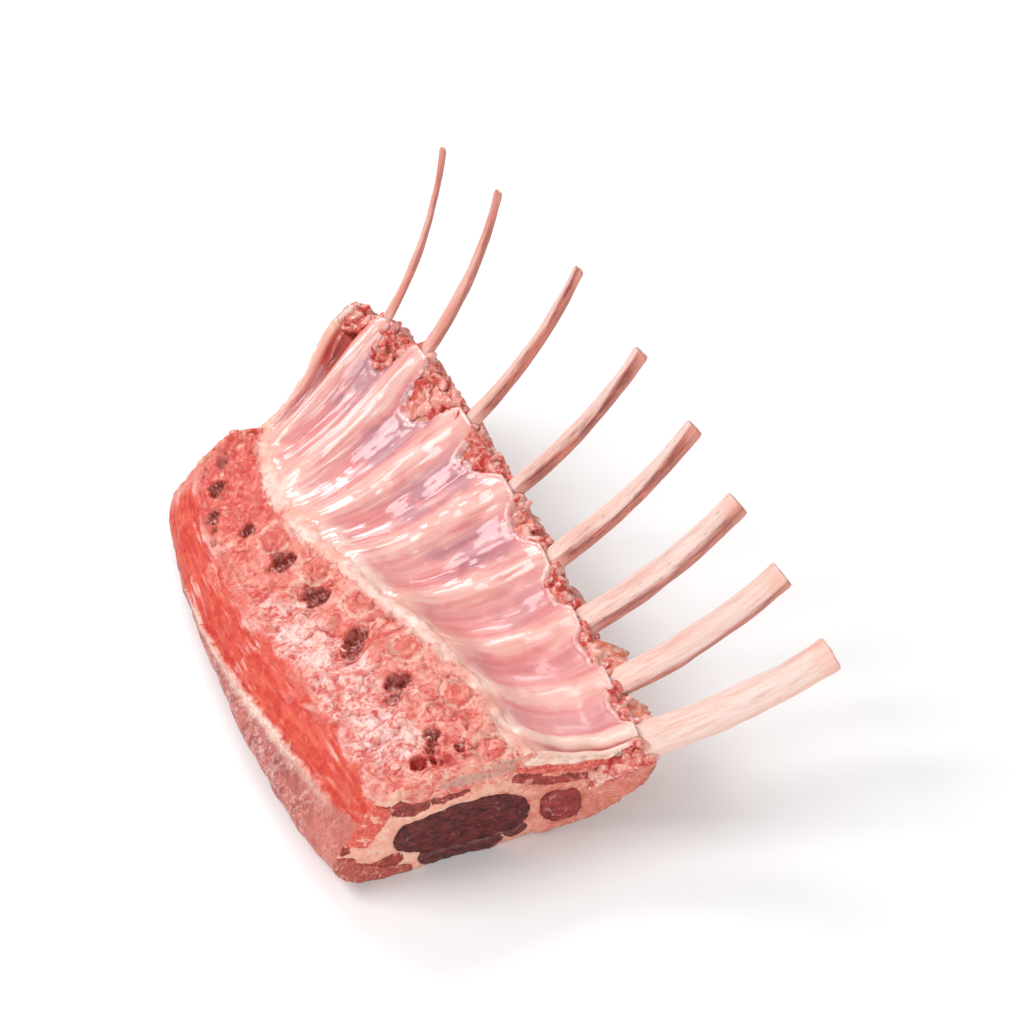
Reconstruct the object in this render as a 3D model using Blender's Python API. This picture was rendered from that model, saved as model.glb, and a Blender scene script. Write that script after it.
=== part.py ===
"""A raw, frenched rack of lamb lying on its outer side, with eight bared rib bones rising to one side."""

import math
from collections import namedtuple

import bmesh
import bpy
import numpy as np
from mathutils import Matrix

MM = 0.001
GAP = 0.3

# Stations along the rack: 0 is the near cut end, 1 to 8 are the ribs, 9 is the far cut end.
LAST_STATION = 9
SPINE_SIDE_Y = [-95, -84, -64, -44, -24.5, -5, 14, 33, 50, 58]
RIB_SIDE_Y = [-100, -96, -76, -53, -30, -3.5, 21.5, 47, 62, 71]

# Cross-sections at five stations, as (x, z) in millimetres from the rib side over the top and back underneath.
OUTLINE = ["rib_edge", "hollow_outer", "hollow_inner", "ridge", "bone_face", "bone_edge",
           "strap_side", "low_corner", "under_left", "under_middle", "under_right", "flap_low", "flap_high"]
SECTION_STATIONS = [0, 3, 5, 7, 9]
SECTIONS = {
    "rib_edge": [(69, 31), (68, 33), (66, 38), (58, 48), (45, 50)],
    "hollow_outer": [(60, 28), (56, 26), (47, 32), (43, 38), (37, 47)],
    "hollow_inner": [(50, 29), (42, 24), (30, 27), (26, 29), (27, 32)],
    "ridge": [(38, 33), (28, 31), (13, 29), (6, 23), (13, 24)],
    "bone_face": [(17, 36), (11, 30), (0, 26), (-5, 20), (2, 24)],
    "bone_edge": [(-3, 34), (-9, 26), (-15, 21), (-15, 15), (-8, 16)],
    "strap_side": [(-13, 21), (-21, 18), (-24, 14), (-22, 10), (-14, 10)],
    "low_corner": [(-19, 8), (-27, 8), (-27, 7), (-24, 5), (-17, 4)],
    "under_left": [(-7, 0), (-13, 0), (-14, 0), (-13, 0), (-9, 0)],
    "under_middle": [(20, 0), (18, 0), (12, 0), (9, 0), (9, 0)],
    "under_right": [(50, 2), (49, 1), (43, 2), (38, 4), (33, 4)],
    "flap_low": [(65, 10), (67, 13), (65, 18), (61, 25), (53, 27)],
    "flap_high": [(73, 21), (73, 24), (71, 30), (64, 39), (54, 41)],
}
STEPS_AROUND = 2
STEPS_PER_RIB = [2, 4, 4, 4, 4, 4, 4, 4, 3]
RIB_RIDGE_HEIGHT = 1.3
VERTEBRA_HEIGHT = 0.8
EDGE_SCALLOP = 1.2

# Muscles that run the whole length, as (centre x, centre z, half width, half height, turn in degrees).
LOIN_EYE = [
    (18, 13, 20, 9, 0),
    (17, 11.5, 19.5, 8.5, 2),
    (14, 11, 18, 8, 8),
    (19, 13, 15, 7.5, 20),
    (22, 16, 13, 7.5, 32),
]
RIB_CAP = [
    (46.5, 12, 6, 6.5, 0),
    (45, 12, 6, 6.5, 10),
    (40.5, 15, 6, 6, 20),
    (41, 21, 5.5, 6, 40),
    (42, 27, 5, 5.5, 45),
]
MUSCLE_SIDES = 16

BONE_DEPTH = [7, 7, 6, 5, 5]
STRAP_DEPTH = 6
FLANK_DEPTH = 4.5
CLEAR = 12

# Bared ribs from the near end: rise in degrees, length, lean along the rack, and bone width and thickness
# at the meat and at the sawn tip.
Rib = namedtuple("Rib", "rise length lean wide thick tip_wide tip_thick")
RIBS = [
    Rib(24, 60, -8, 12.0, 7.0, 10.5, 7.0),
    Rib(33, 60, -4, 10.0, 6.0, 9.0, 5.5),
    Rib(37, 60, -2, 10.0, 6.0, 8.5, 5.5),
    Rib(42, 61, 0, 8.5, 4.8, 6.5, 4.2),
    Rib(46, 60, 1, 7.0, 4.2, 5.5, 3.6),
    Rib(55, 62, 1, 6.0, 3.8, 4.0, 2.8),
    Rib(63, 60, 6, 5.2, 3.2, 3.2, 2.2),
    Rib(67, 60, 10, 3.6, 2.4, 2.4, 1.8),
]
RIB_BOW = 3.5
RIB_SEAT = 15
RIB_SIDES = 10
RIB_STEPS = 9


def along(values, stations, u):
    """Smooth value at station u through the given values."""
    values = np.array(values, float)
    stations = np.array(stations, float)
    slopes = np.gradient(values, stations, axis=0)
    i = int(np.clip(np.searchsorted(stations, u, side="right") - 1, 0, len(stations) - 2))
    span = stations[i + 1] - stations[i]
    t = (u - stations[i]) / span
    if t < 0 or t > 1:
        end = i if t < 0 else i + 1
        return values[end] + slopes[end] * (u - stations[end])
    return (
        (2 * t**3 - 3 * t**2 + 1) * values[i]
        + (t**3 - 2 * t**2 + t) * span * slopes[i]
        + (3 * t**2 - 2 * t**3) * values[i + 1]
        + (t**3 - t**2) * span * slopes[i + 1]
    )


def control(name, u):
    return along(SECTIONS[name], SECTION_STATIONS, u)


def place(x, z, u):
    """Point of the section at station u. The sections fan out, so y depends on how far across the point is."""
    spine_x = control("ridge", u)[0]
    rib_x = control("rib_edge", u)[0]
    across = min(max((x - spine_x) / (rib_x - spine_x), 0), 1)
    stations = range(LAST_STATION + 1)
    spine_y = along(SPINE_SIDE_Y, stations, u)
    rib_y = along(RIB_SIDE_Y, stations, u)
    return np.array([x, spine_y + (rib_y - spine_y) * across, z])


def swelling(name, t, u):
    """How far the surface stands out at a rib, or falls in between two ribs, as (x, z)."""
    wave = math.cos(2 * math.pi * u)
    if name == "rib_edge":
        return np.array([0, RIB_RIDGE_HEIGHT * wave])
    if name.startswith("hollow"):
        inward = OUTLINE.index(name) + t
        return np.array([0, RIB_RIDGE_HEIGHT * wave * math.sin(math.pi * inward / 3)])
    if name == "bone_face":
        return np.array([0, VERTEBRA_HEIGHT * wave])
    if name == "flap_high":
        return np.array([EDGE_SCALLOP * wave, 0])
    return np.zeros(2)


def outline_at(u):
    """Closed smooth outline of the meat at station u, lying flat where it meets the table."""
    points = [control(name, u) for name in OUTLINE]
    count = len(points)
    ring = []
    for i in range(count):
        before, start, end, after = (points[(i + k) % count] for k in (-1, 0, 1, 2))
        for step in range(STEPS_AROUND):
            t = step / STEPS_AROUND
            point = 0.5 * (
                2 * start
                + (end - before) * t
                + (2 * before - 5 * start + 4 * end - after) * t**2
                + (3 * start - before - 3 * end + after) * t**3
            )
            x, z = point + swelling(OUTLINE[i], t, u)
            ring.append(place(x, max(z, 0.0), u))
    return ring


def stations_along():
    found = [i + k / steps for i, steps in enumerate(STEPS_PER_RIB) for k in range(steps)]
    return found + [LAST_STATION]


def loft(name, rings, collection):
    """Closed solid through rings of equal length."""
    bm = bmesh.new()
    rows = [[bm.verts.new(np.array(point) * MM) for point in ring] for ring in rings]
    count = len(rows[0])
    for low, high in zip(rows, rows[1:]):
        for i in range(count):
            j = (i + 1) % count
            bm.faces.new((low[i], low[j], high[j], high[i]))
    ends = [bm.faces.new(rows[0]), bm.faces.new(rows[-1])]
    bmesh.ops.triangulate(bm, faces=ends, ngon_method="EAR_CLIP")
    bmesh.ops.triangulate(bm, faces=bm.faces[:])
    bmesh.ops.recalc_face_normals(bm, faces=bm.faces[:])
    mesh = bpy.data.meshes.new(name)
    bm.to_mesh(mesh)
    bm.free()
    mesh.shade_smooth()
    mesh.set_sharp_from_angle(angle=math.radians(50))
    made = bpy.data.objects.new(name, mesh)
    collection.objects.link(made)
    return made


def inset(polygon, distance):
    """Polygon in (x, z) moved inwards by a distance. The polygon runs anticlockwise."""
    moved = []
    count = len(polygon)
    for i in range(count):
        before, here, after = (np.array(polygon[(i + k) % count], float) for k in (-1, 0, 1))
        first = (here - before) / np.linalg.norm(here - before)
        second = (after - here) / np.linalg.norm(after - here)
        first_in = np.array([-first[1], first[0]])
        second_in = np.array([-second[1], second[0]])
        corner = first_in + second_in
        moved.append(here + corner * distance / max(1 + float(first_in @ second_in), 0.3))
    return moved


def region(name, polygon_at, distance, collection):
    """Solid of a layer's place in the meat, running past both cut ends."""
    stations = [-1.0] + [i / 2 for i in range(2 * LAST_STATION + 1)] + [LAST_STATION + 1.0]
    rings = []
    for u in stations:
        held = min(max(u, 0), LAST_STATION)
        beyond = np.array([0, 14 * (u - held), 0])
        rings.append([place(x, z, held) + beyond for x, z in inset(polygon_at(held), distance)])
    return loft(name, rings, collection)


def oval(values):
    """Section of a muscle that is a flattened oval, anticlockwise."""

    def polygon_at(u):
        x, z, wide, high, turn = along(values, SECTION_STATIONS, u)
        turn = math.radians(turn)
        points = []
        for i in range(MUSCLE_SIDES):
            angle = 2 * math.pi * i / MUSCLE_SIDES
            across = wide * math.copysign(abs(math.cos(angle)) ** 0.8, math.cos(angle))
            up = high * math.copysign(abs(math.sin(angle)) ** 0.8, math.sin(angle))
            points.append((
                x + across * math.cos(turn) - up * math.sin(turn),
                z + across * math.sin(turn) + up * math.cos(turn),
            ))
        return points

    return polygon_at


def surface_mark(start, end, share, depth):
    """Point part of the way between two outline points, with the points above and below the surface there."""
    point = start + (end - start) * share
    heading = (end - start) / np.linalg.norm(end - start)
    outward = np.array([heading[1], -heading[0]])
    return point + outward * CLEAR, point - outward * depth


def bone_section(u):
    """Sawn backbone along the top, between the ridge and the edge of the strap muscle."""
    depth = float(along(BONE_DEPTH, SECTION_STATIONS, u))
    edge = control("bone_edge", u)
    face = control("bone_face", u)
    ridge = control("ridge", u)
    left = edge + (face - edge) * 0.15
    right = ridge + (face - ridge) * 0.08
    return [
        (left[0], left[1] + CLEAR), (left[0] + 1, left[1] - depth * 0.6), (left[0] + 4, left[1] - depth),
        (face[0], face[1] - depth - 1), (right[0] - 4, right[1] - depth), (right[0] - 1, right[1] - 3),
        (right[0], right[1] + CLEAR),
    ]


def strap_section(u):
    """Smooth muscle below the backbone on the spine side."""
    edge = control("bone_edge", u)
    side = control("strap_side", u)
    low = control("low_corner", u)
    top_out, top_in = surface_mark(edge, side, 0.25, STRAP_DEPTH)
    end_out, end_in = surface_mark(side, low, 0.3, STRAP_DEPTH)
    return [top_out, end_out, end_in, top_in]


def flank_section(u):
    """Thin outer muscle round the low corner of the spine side."""
    side = control("strap_side", u)
    low = control("low_corner", u)
    under = control("under_left", u)
    middle = control("under_middle", u)
    top_out, top_in = surface_mark(side, low, 0.6, FLANK_DEPTH)
    turn_out, turn_in = surface_mark(low, under, 0.3, FLANK_DEPTH)
    end = under + (middle - under) * 0.35
    return [top_out, turn_out, (end[0], end[1] - CLEAR), (end[0] + 1, 2.2), (under[0] + 3, 4), turn_in, top_in]


def rib_line(number):
    """Centre line of a rib from its seat in the meat to its sawn tip, with the share of the bared length."""
    rib = RIBS[number]
    u = number + 1
    rise = math.radians(rib.rise)
    edge = place(*control("rib_edge", u), u)
    inner = place(*control("hollow_outer", u), u)
    start = edge - np.array([1.0, 0, rib.thick / 2 + 0.5])
    inward = inner - edge
    inward = inward / np.linalg.norm(inward)
    first = np.array([math.cos(rise), 0, math.sin(rise)])
    down = np.array([math.sin(rise), 0, -math.cos(rise)])
    line = []
    for step in range(1, -1, -1):
        share = (step + 0.35) / 1.35
        line.append((start + inward * RIB_SEAT * share - np.array([0, 0, 1.5 * share]), -share))
    for step in range(RIB_STEPS + 1):
        share = step / RIB_STEPS
        bow = RIB_BOW * 4 * share * (1 - share)
        point = start + first * rib.length * share + down * bow + np.array([0, rib.lean * share, 0])
        line.append((point, share))
    return line


def rib_solid(name, number, grow, collection):
    """Flattened bone along its line. Grown a little, and only inside the meat, it cuts its own seat."""
    rib = RIBS[number]
    line = rib_line(number)
    rings = []
    for i, (point, share) in enumerate(line):
        ahead = line[min(i + 1, len(line) - 1)][0] - line[max(i - 1, 0)][0]
        ahead = ahead / np.linalg.norm(ahead)
        side = np.array([0, 1.0, 0]) - ahead * ahead[1]
        side = side / np.linalg.norm(side)
        over = np.cross(ahead, side)
        held = max(share, 0)
        half_wide = (rib.wide + (rib.tip_wide - rib.wide) * held) / 2 + grow
        half_thick = (rib.thick + (rib.tip_thick - rib.thick) * held) / 2 + grow
        if share < 0:
            half_wide *= 1 + 0.12 * share
        if i == 0:
            point = point - ahead * grow
        ring = []
        for k in range(RIB_SIDES):
            angle = 2 * math.pi * (k + 0.5) / RIB_SIDES
            ring.append(point + side * half_wide * math.cos(angle) + over * half_thick * math.sin(angle))
        rings.append(ring)
    return loft(name, rings, collection)


def cut(target, cutter, operation):
    modifier = target.modifiers.new(cutter.name, "BOOLEAN")
    modifier.operation = operation
    modifier.solver = "EXACT"
    modifier.object = cutter


def colour(target, name, shade, roughness):
    material = bpy.data.materials.get(name) or bpy.data.materials.new(name)
    material.use_nodes = True
    shader = material.node_tree.nodes["Principled BSDF"]
    shader.inputs["Base Color"].default_value = (*shade, 1)
    shader.inputs["Roughness"].default_value = roughness
    target.data.materials.clear()
    target.data.materials.append(material)


def shift_to_origin(objects):
    """Move that brings the bottom centre of the whole rack to the origin."""
    low = np.full(3, np.inf)
    high = np.full(3, -np.inf)
    for item in objects:
        points = np.array([vert.co for vert in item.data.vertices])
        low = np.minimum(low, points.min(axis=0))
        high = np.maximum(high, points.max(axis=0))
    middle = (low + high) / 2
    return np.array([-middle[0], -middle[1], -low[2]])


def main():
    for item in list(bpy.data.objects):
        bpy.data.objects.remove(item)
    rack = bpy.data.collections.new("rack_of_lamb")
    cutters = bpy.data.collections.new("cutters")
    for group in (rack, cutters):
        bpy.context.scene.collection.children.link(group)
    cutters.hide_render = True

    layers = {
        "loin_eye": (oval(LOIN_EYE), (0.22, 0.03, 0.04)),
        "rib_cap": (oval(RIB_CAP), (0.40, 0.07, 0.06)),
        "backbone": (bone_section, (0.75, 0.38, 0.33)),
        "strap_muscle": (strap_section, (0.62, 0.13, 0.09)),
        "flank_muscle": (flank_section, (0.45, 0.15, 0.14)),
    }
    rings = [outline_at(u) for u in stations_along()]
    meat = loft("meat", rings, rack)
    colour(meat, "meat_and_fat", (0.80, 0.42, 0.36), 0.4)
    solids = [meat]
    for name, (polygon_at, shade) in layers.items():
        layer = loft(name, rings, rack)
        colour(layer, name, shade, 0.4)
        cut(layer, region(name + "_inside", polygon_at, GAP, cutters), "INTERSECT")
        cut(meat, region(name + "_seat", polygon_at, 0, cutters), "DIFFERENCE")
        solids.append(layer)
    for number in range(len(RIBS)):
        rib = rib_solid(f"rib_{number + 1}", number, 0, rack)
        colour(rib, "rib_bone", (0.85, 0.68, 0.58), 0.5)
        solids.append(rib)
        cut(meat, rib_solid(f"rib_{number + 1}_seat", number, GAP, cutters), "DIFFERENCE")

    shift = shift_to_origin(solids)
    for item in [*rack.objects, *cutters.objects]:
        item.data.transform(Matrix.Translation(shift))
    for item in cutters.objects:
        item.hide_render = True
        item.display_type = "WIRE"


main()
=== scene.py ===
# %% [markdown]
# # A raw, frenched rack of lamb
# A rack is the rib side of a lamb: a loin muscle along a row of ribs, with the backbone sawn through. This one lies on
# its fat side, so the hollow inside of the chest, covered by a wet skin, looks up, and the scraped ribs rise from it.
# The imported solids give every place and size. Each cell below turns some of them into flesh, skin, fat or bone.

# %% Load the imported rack
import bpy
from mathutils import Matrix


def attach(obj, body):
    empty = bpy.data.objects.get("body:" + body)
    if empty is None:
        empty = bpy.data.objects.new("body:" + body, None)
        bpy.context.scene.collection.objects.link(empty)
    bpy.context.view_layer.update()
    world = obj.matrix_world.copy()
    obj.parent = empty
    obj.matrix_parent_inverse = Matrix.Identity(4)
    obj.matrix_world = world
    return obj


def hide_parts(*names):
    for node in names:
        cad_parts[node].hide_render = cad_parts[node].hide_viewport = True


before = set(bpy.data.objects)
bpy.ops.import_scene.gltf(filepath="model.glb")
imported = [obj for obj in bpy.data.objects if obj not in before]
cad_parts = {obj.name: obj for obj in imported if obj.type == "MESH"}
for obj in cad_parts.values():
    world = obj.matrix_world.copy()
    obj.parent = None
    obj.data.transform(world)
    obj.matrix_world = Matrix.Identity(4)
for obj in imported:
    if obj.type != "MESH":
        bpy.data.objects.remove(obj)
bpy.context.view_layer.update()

# %% [markdown]
# ## Tools and units
# Blender counts in metres, but a rack is easier to think of in millimetres, so places are worked out in mm and scaled
# when they reach a mesh. Everything random comes from seeds, so that each run makes the same rack.

# %% Tools and units
import math
from collections import namedtuple

import bmesh
import bpy
import numpy as np
from mathutils import Euler, Matrix, Vector, noise
from mathutils.kdtree import KDTree

MM = 0.001
rng = np.random.default_rng(11)
print("unit:", MM, "m")

# %% [markdown]
# ## Camera
# A rack on a block is usually seen from above one corner of the loin end. A long lens keeps the ribs nearly parallel,
# so the camera stands 1.2 m away and looks down at 47 degrees.

# %% Camera
AZIMUTH, ELEVATION, DISTANCE = math.radians(-20.5), math.radians(47), 1.2
LENS = 145.55
target = Vector((19.60, 17.07, 25.0)) * MM
level = math.cos(ELEVATION)
towards = Vector((math.sin(AZIMUTH) * level, -math.cos(AZIMUTH) * level, math.sin(ELEVATION)))
camera = bpy.data.objects.new("camera", bpy.data.cameras.new("camera"))
camera.data.sensor_width = 36
camera.data.lens = LENS
camera.data.clip_start, camera.data.clip_end = 0.05, 20
camera.location = target + towards * DISTANCE
camera.rotation_euler = towards.to_track_quat("Z", "Y").to_euler()
bpy.context.scene.collection.objects.link(camera)
bpy.context.scene.camera = camera
print("camera at", [round(v, 3) for v in camera.location])

# %% [markdown]
# ## Studio
# A white floor, a white world and three soft boxes. The big one stands behind the rack, where its reflection runs down
# the wet skin as long streaks. The plain view transform keeps whites white.

# %% World and lights
WORLD_STRENGTH = 0.38
scene = bpy.context.scene
scene.view_settings.view_transform = "Standard"
scene.world = bpy.data.worlds.new("studio")
scene.world.use_nodes = True
sky = scene.world.node_tree.nodes["Background"].inputs
sky["Color"].default_value = (1, 1, 1, 1)
sky["Strength"].default_value = WORLD_STRENGTH


def soft_box(name, direction, distance, wide, high, power):
    light = bpy.data.lights.new(name, "AREA")
    light.shape = "RECTANGLE"
    light.size, light.size_y, light.energy = wide, high, power
    made = bpy.data.objects.new(name, light)
    ahead = Vector(direction).normalized()
    made.location = target + ahead * distance
    made.rotation_euler = ahead.to_track_quat("Z", "Y").to_euler()
    scene.collection.objects.link(made)
    print(f"{name}: {power} W, {wide} x {high} m")


soft_box("key", (-0.65, 0.25, 0.85), 0.9, 0.45, 0.45, 5.0)
soft_box("window", (0.05, 0.78, 0.72), 1.0, 0.55, 0.28, 5.0)
soft_box("front", (-0.1, -0.95, 0.4), 1.1, 0.6, 0.6, 6.0)

# %% Floor
FLOOR_DROP = 0.0002


def new_object(name, bm, mesh_name=None):
    """An object made from a bmesh, which is then freed."""
    mesh = bpy.data.meshes.new(mesh_name or name)
    bm.to_mesh(mesh)
    bm.free()
    made = bpy.data.objects.new(name, mesh)
    scene.collection.objects.link(made)
    return made


bm = bmesh.new()
bmesh.ops.create_grid(bm, x_segments=1, y_segments=1, size=3.0)
floor = new_object("floor", bm)
floor.location.z = -FLOOR_DROP
paper = bpy.data.materials.new("floor_paper")
paper.use_nodes = True
paper_shader = paper.node_tree.nodes["Principled BSDF"].inputs
paper_shader["Base Color"].default_value = (0.9, 0.9, 0.9, 1)
paper_shader["Roughness"].default_value = 0.9
floor.data.materials.append(paper)
print("floor:", [round(side, 1) for side in floor.dimensions[:2]], "m")

# %% [markdown]
# ## The skin as a map
# The solids are faceted. The real surface is smooth, and every streak and muscle on it runs either along the rack or
# across it. So the outer surface is written once as a map with two numbers: `run` goes from 0 at the near cut, through
# 1 to 8 at the ribs, to 9 at the far cut; `turn` goes round the section, from 0 at the edge the ribs leave, over the
# hollow, 3 at the ridge of the backbone, 5 where the sawn bone ends, 7 at the low corner, and back underneath.

# %% Sections of the rack
# Each section is a ring of places (x, z in mm) in order of `turn`; STATIONS says at which `run` each section lies.
STATIONS = np.array([0.0, 3, 5, 7, 9])
SPINE_SIDE_Y = [-95, -84, -64, -44, -24.5, -5, 14, 33, 50, 58]
RIB_SIDE_Y = [-100, -96, -76, -53, -30, -3.5, 21.5, 47, 62, 71]
SECTIONS = {
    "rib_edge": [(69, 31), (68, 33), (66, 38), (58, 48), (45, 50)],
    "hollow_outer": [(60, 28), (56, 26), (47, 32), (43, 38), (37, 47)],
    "hollow_inner": [(50, 29), (42, 24), (30, 27), (26, 29), (27, 32)],
    "ridge": [(38, 33), (28, 31), (13, 29), (6, 23), (13, 24)],
    "bone_face": [(17, 36), (11, 30), (0, 26), (-5, 20), (2, 24)],
    "bone_edge": [(-3, 34), (-9, 26), (-15, 21), (-15, 15), (-8, 16)],
    "strap_side": [(-13, 21), (-21, 18), (-24, 14), (-22, 10), (-14, 10)],
    "low_corner": [(-19, 8), (-27, 8), (-27, 7), (-24, 5), (-17, 4)],
    "under_left": [(-7, 0), (-13, 0), (-14, 0), (-13, 0), (-9, 0)],
    "under_middle": [(20, 0), (18, 0), (12, 0), (9, 0), (9, 0)],
    "under_right": [(50, 2), (49, 1), (43, 2), (38, 4), (33, 4)],
    "flap_low": [(65, 10), (67, 13), (65, 18), (61, 25), (53, 27)],
    "flap_high": [(73, 21), (73, 24), (71, 30), (64, 39), (54, 41)],
}
CONTROLS = np.moveaxis(np.array(list(SECTIONS.values()), float), 1, 0)
AROUND = CONTROLS.shape[1]
SHIFT = np.array([-48.58, 17.91, 0.0])  # from the sections' own origin to the rack's frame
print("sections:", len(CONTROLS), "of", AROUND, "places")

# %% [markdown]
# Between the sections, places are joined by smooth curves: Hermite curves along the rack and Catmull-Rom curves round
# it. Both pass through every given place, so a section can be put right without moving its neighbours.

# %% The skin
def along(values, stations, u):
    """Smooth values at the stations u, through the given ones."""
    values, stations = np.asarray(values, float), np.asarray(stations, float)
    slopes = np.gradient(values, stations, axis=0)
    i = np.clip(np.searchsorted(stations, u, side="right") - 1, 0, len(stations) - 2)
    wide = (slice(None),) + (None,) * (values.ndim - 1)
    span = (stations[i + 1] - stations[i])[wide]
    t = np.clip((u - stations[i])[wide] / span, 0, 1)
    return ((2 * t**3 - 3 * t**2 + 1) * values[i] + (t**3 - 2 * t**2 + t) * span * slopes[i]
            + (3 * t**2 - 2 * t**3) * values[i + 1] + (t**3 - t**2) * span * slopes[i + 1])


def cut_y(x, u):
    """How far along the rack (mm) the section at u lies, at x. The sections fan out towards the ribs."""
    ridge = along([v[0] for v in SECTIONS["ridge"]], STATIONS, u)
    edge = along([v[0] for v in SECTIONS["rib_edge"]], STATIONS, u)
    share = np.clip((x - ridge) / (edge - ridge), 0, 1)
    spine = along(SPINE_SIDE_Y, np.arange(10.0), u)
    return spine + (along(RIB_SIDE_Y, np.arange(10.0), u) - spine) * share


def skin(turn, run):
    """Points (mm) of the smooth outer surface."""
    turn, run = np.broadcast_arrays(np.asarray(turn, float), np.asarray(run, float))
    shape, turn, run = turn.shape, turn.ravel(), run.ravel()
    controls = along(CONTROLS, STATIONS, run)
    i = np.floor(turn).astype(int)
    t = turn - i
    rows = np.arange(len(turn))
    before, start, end, after = (controls[rows, (i + k) % AROUND] for k in (-1, 0, 1, 2))
    t = t[:, None]
    point = 0.5 * (2 * start + (end - before) * t + (2 * before - 5 * start + 4 * end - after) * t**2
                   + (3 * start - before - 3 * end + after) * t**3)
    wave = np.cos(2 * np.pi * run)
    here = turn % AROUND
    x = point[:, 0] + 1.2 * wave * np.clip(1 - np.abs(here - 12), 0, 1)
    z = point[:, 1] + 1.3 * wave * np.where(here < 3, np.sin(np.pi * here / 3), 0)
    z = z + 0.8 * wave * np.clip(1 - np.abs(here - 4), 0, 1)
    z = z + 1.3 * wave * np.clip(1 - 2 * np.abs((here + 6) % AROUND - 6), 0, 1)
    return np.stack([x, cut_y(x, run), np.maximum(z, 0)], -1).reshape(*shape, 3)

# %% [markdown]
# To find out where a point of a solid lies on the map, a dense net of the skin goes into a tree that finds the nearest
# knot. The net's own slopes then give the small rest of the way.

# %% Nearest place on the map
NET_STEP, LAST_RUN = 1 / 22, 9
TURNS = np.arange(0, AROUND, NET_STEP)
RUNS = np.linspace(0, LAST_RUN, 271)
net = skin(TURNS[:, None], RUNS[None, :])
net_across = np.gradient(np.concatenate([net[-1:], net, net[:1]]), NET_STEP, axis=0)[1:-1]
net_along = np.gradient(net, RUNS, axis=1)
net_normal = np.cross(net_along, net_across)
net_normal /= np.maximum(np.linalg.norm(net_normal, axis=-1, keepdims=True), 1e-6)
tree = KDTree(net[..., 0].size)
for number, point in enumerate((net.reshape(-1, 3) + SHIFT).tolist()):
    tree.insert(point, number)
tree.balance()
print("skin map:", net.shape[0], "x", net.shape[1], "points")


def smooth_step(value, low, high):
    t = np.clip((value - low) / (high - low), 0, 1)
    return t * t * (3 - 2 * t)


def on_map(points):
    """For points (mm): turn, run, height above the skin, the skin's own normal, and distance from the net."""
    found = np.array([tree.find(point)[1] for point in points.tolist()])
    flat = [array.reshape(-1, 3)[found] for array in (net + SHIFT, net_across, net_along, net_normal)]
    away = points - flat[0]
    turn = TURNS[found // len(RUNS)] + np.clip((away * flat[1]).sum(1) / (flat[1]**2).sum(1), -0.05, 0.05)
    run = RUNS[found % len(RUNS)] + np.clip((away * flat[2]).sum(1) / (flat[2]**2).sum(1), -0.04, 0.04)
    turn = np.where(turn > 10.5, turn - AROUND, turn)
    return turn, run, (away * flat[3]).sum(1), flat[3], np.linalg.norm(away, axis=1)

# %% [markdown]
# ## Relief
# Flesh is never smooth: the skin dips between the ribs and folds along them, the sawn bone is grainy and pitted, the
# cut fat is lumpy. All of it is one height over the map, so neighbouring pieces rise and fall together and their seams
# stay closed. The heights come from layers of seeded noise, stretched along whatever runs there.

# %% Marks on the sawn backbone
# Round ends of vertebrae, as (turn, run)
VERTEBRA_SPOTS = [(3.34, 0.66), (3.26, 1.9), (3.42, 3.0), (3.4, 4.08), (3.44, 5.02), (3.6, 6.0)]
SPOT_RADIUS = 4.0
# Pits where the saw opened the spongy bone, as (turn, run, radius in mm, strength)
PITS = [(3.82, 5.52, 4.2, 1.0), (3.98, 5.42, 2.6, 1.0), (3.9, 4.58, 4.2, 1.0), (4.06, 4.42, 2.6, 0.6),
        (4.18, 4.3, 2.2, 0.4), (4.0, 3.52, 4.4, 1.0), (4.16, 3.3, 3.0, 0.6), (4.3, 3.1, 2.2, 0.4),
        (3.92, 2.45, 3.6, 0.9), (4.04, 2.25, 3.0, 0.6), (4.18, 2.1, 2.2, 0.4), (3.93, 1.36, 2.4, 1.0),
        (4.05, 1.16, 1.7, 0.9), (4.12, 0.95, 1.4, 0.9), (4.16, 0.7, 1.2, 0.8), (3.72, 0.98, 1.4, 0.8),
        (3.76, 0.82, 1.3, 0.8), (4.34, 0.72, 2.8, 0.8), (4.0, 6.52, 2.8, 0.9), (4.7, 7.1, 3.4, 0.8),
        (4.4, 7.62, 3.2, 0.9), (5.05, 6.6, 3.2, 0.7), (4.85, 6.85, 2.4, 0.5), (4.2, 8.25, 3.0, 0.7)]
print("vertebra ends:", len(VERTEBRA_SPOTS), "pits:", len(PITS))

# %% Noise, bands and distances
def bumps(points, size, seed, octaves=3):
    """Smooth random values, mostly between -1 and 1, in lumps of about `size` in the units of the points."""
    moved = points / size + np.array([seed * 7.31, seed * 3.77, seed * 5.13])
    return np.array([noise.fractal(point, 1.0, 2.0, octaves) for point in moved.tolist()])


def band(value, middle, half, soft):
    """1 within `half` of the middle, falling to 0 over `soft`."""
    return smooth_step(np.abs(value - middle), half + soft, half)


def membrane_edge(run):
    """Turn at which the wet skin was scraped off. It runs on over each rib."""
    ragged = np.array([noise.fractal((r * 2.3, 4.1, 0.7), 1.0, 2.0, 3) for r in np.ravel(run).tolist()])
    ragged = ragged.reshape(np.shape(run))
    between = 0.22 + 0.45 * smooth_step(run, 5.0, 6.6) + 0.16 * ragged
    at_rib = np.abs(run - np.round(np.clip(run, 1, 8)))
    return np.where(run > 8.2, 0.75, between * smooth_step(at_rib, 0.1, 0.34) - 0.1 * smooth_step(at_rib, 0.3, 0.1))


def gaps_to(points, marks):
    """Distance (mm) from each point to each of some marks on the map."""
    places = skin([mark[0] for mark in marks], [mark[1] for mark in marks]) + SHIFT
    return np.linalg.norm(points[:, None, :] - places[None], axis=2)


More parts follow.
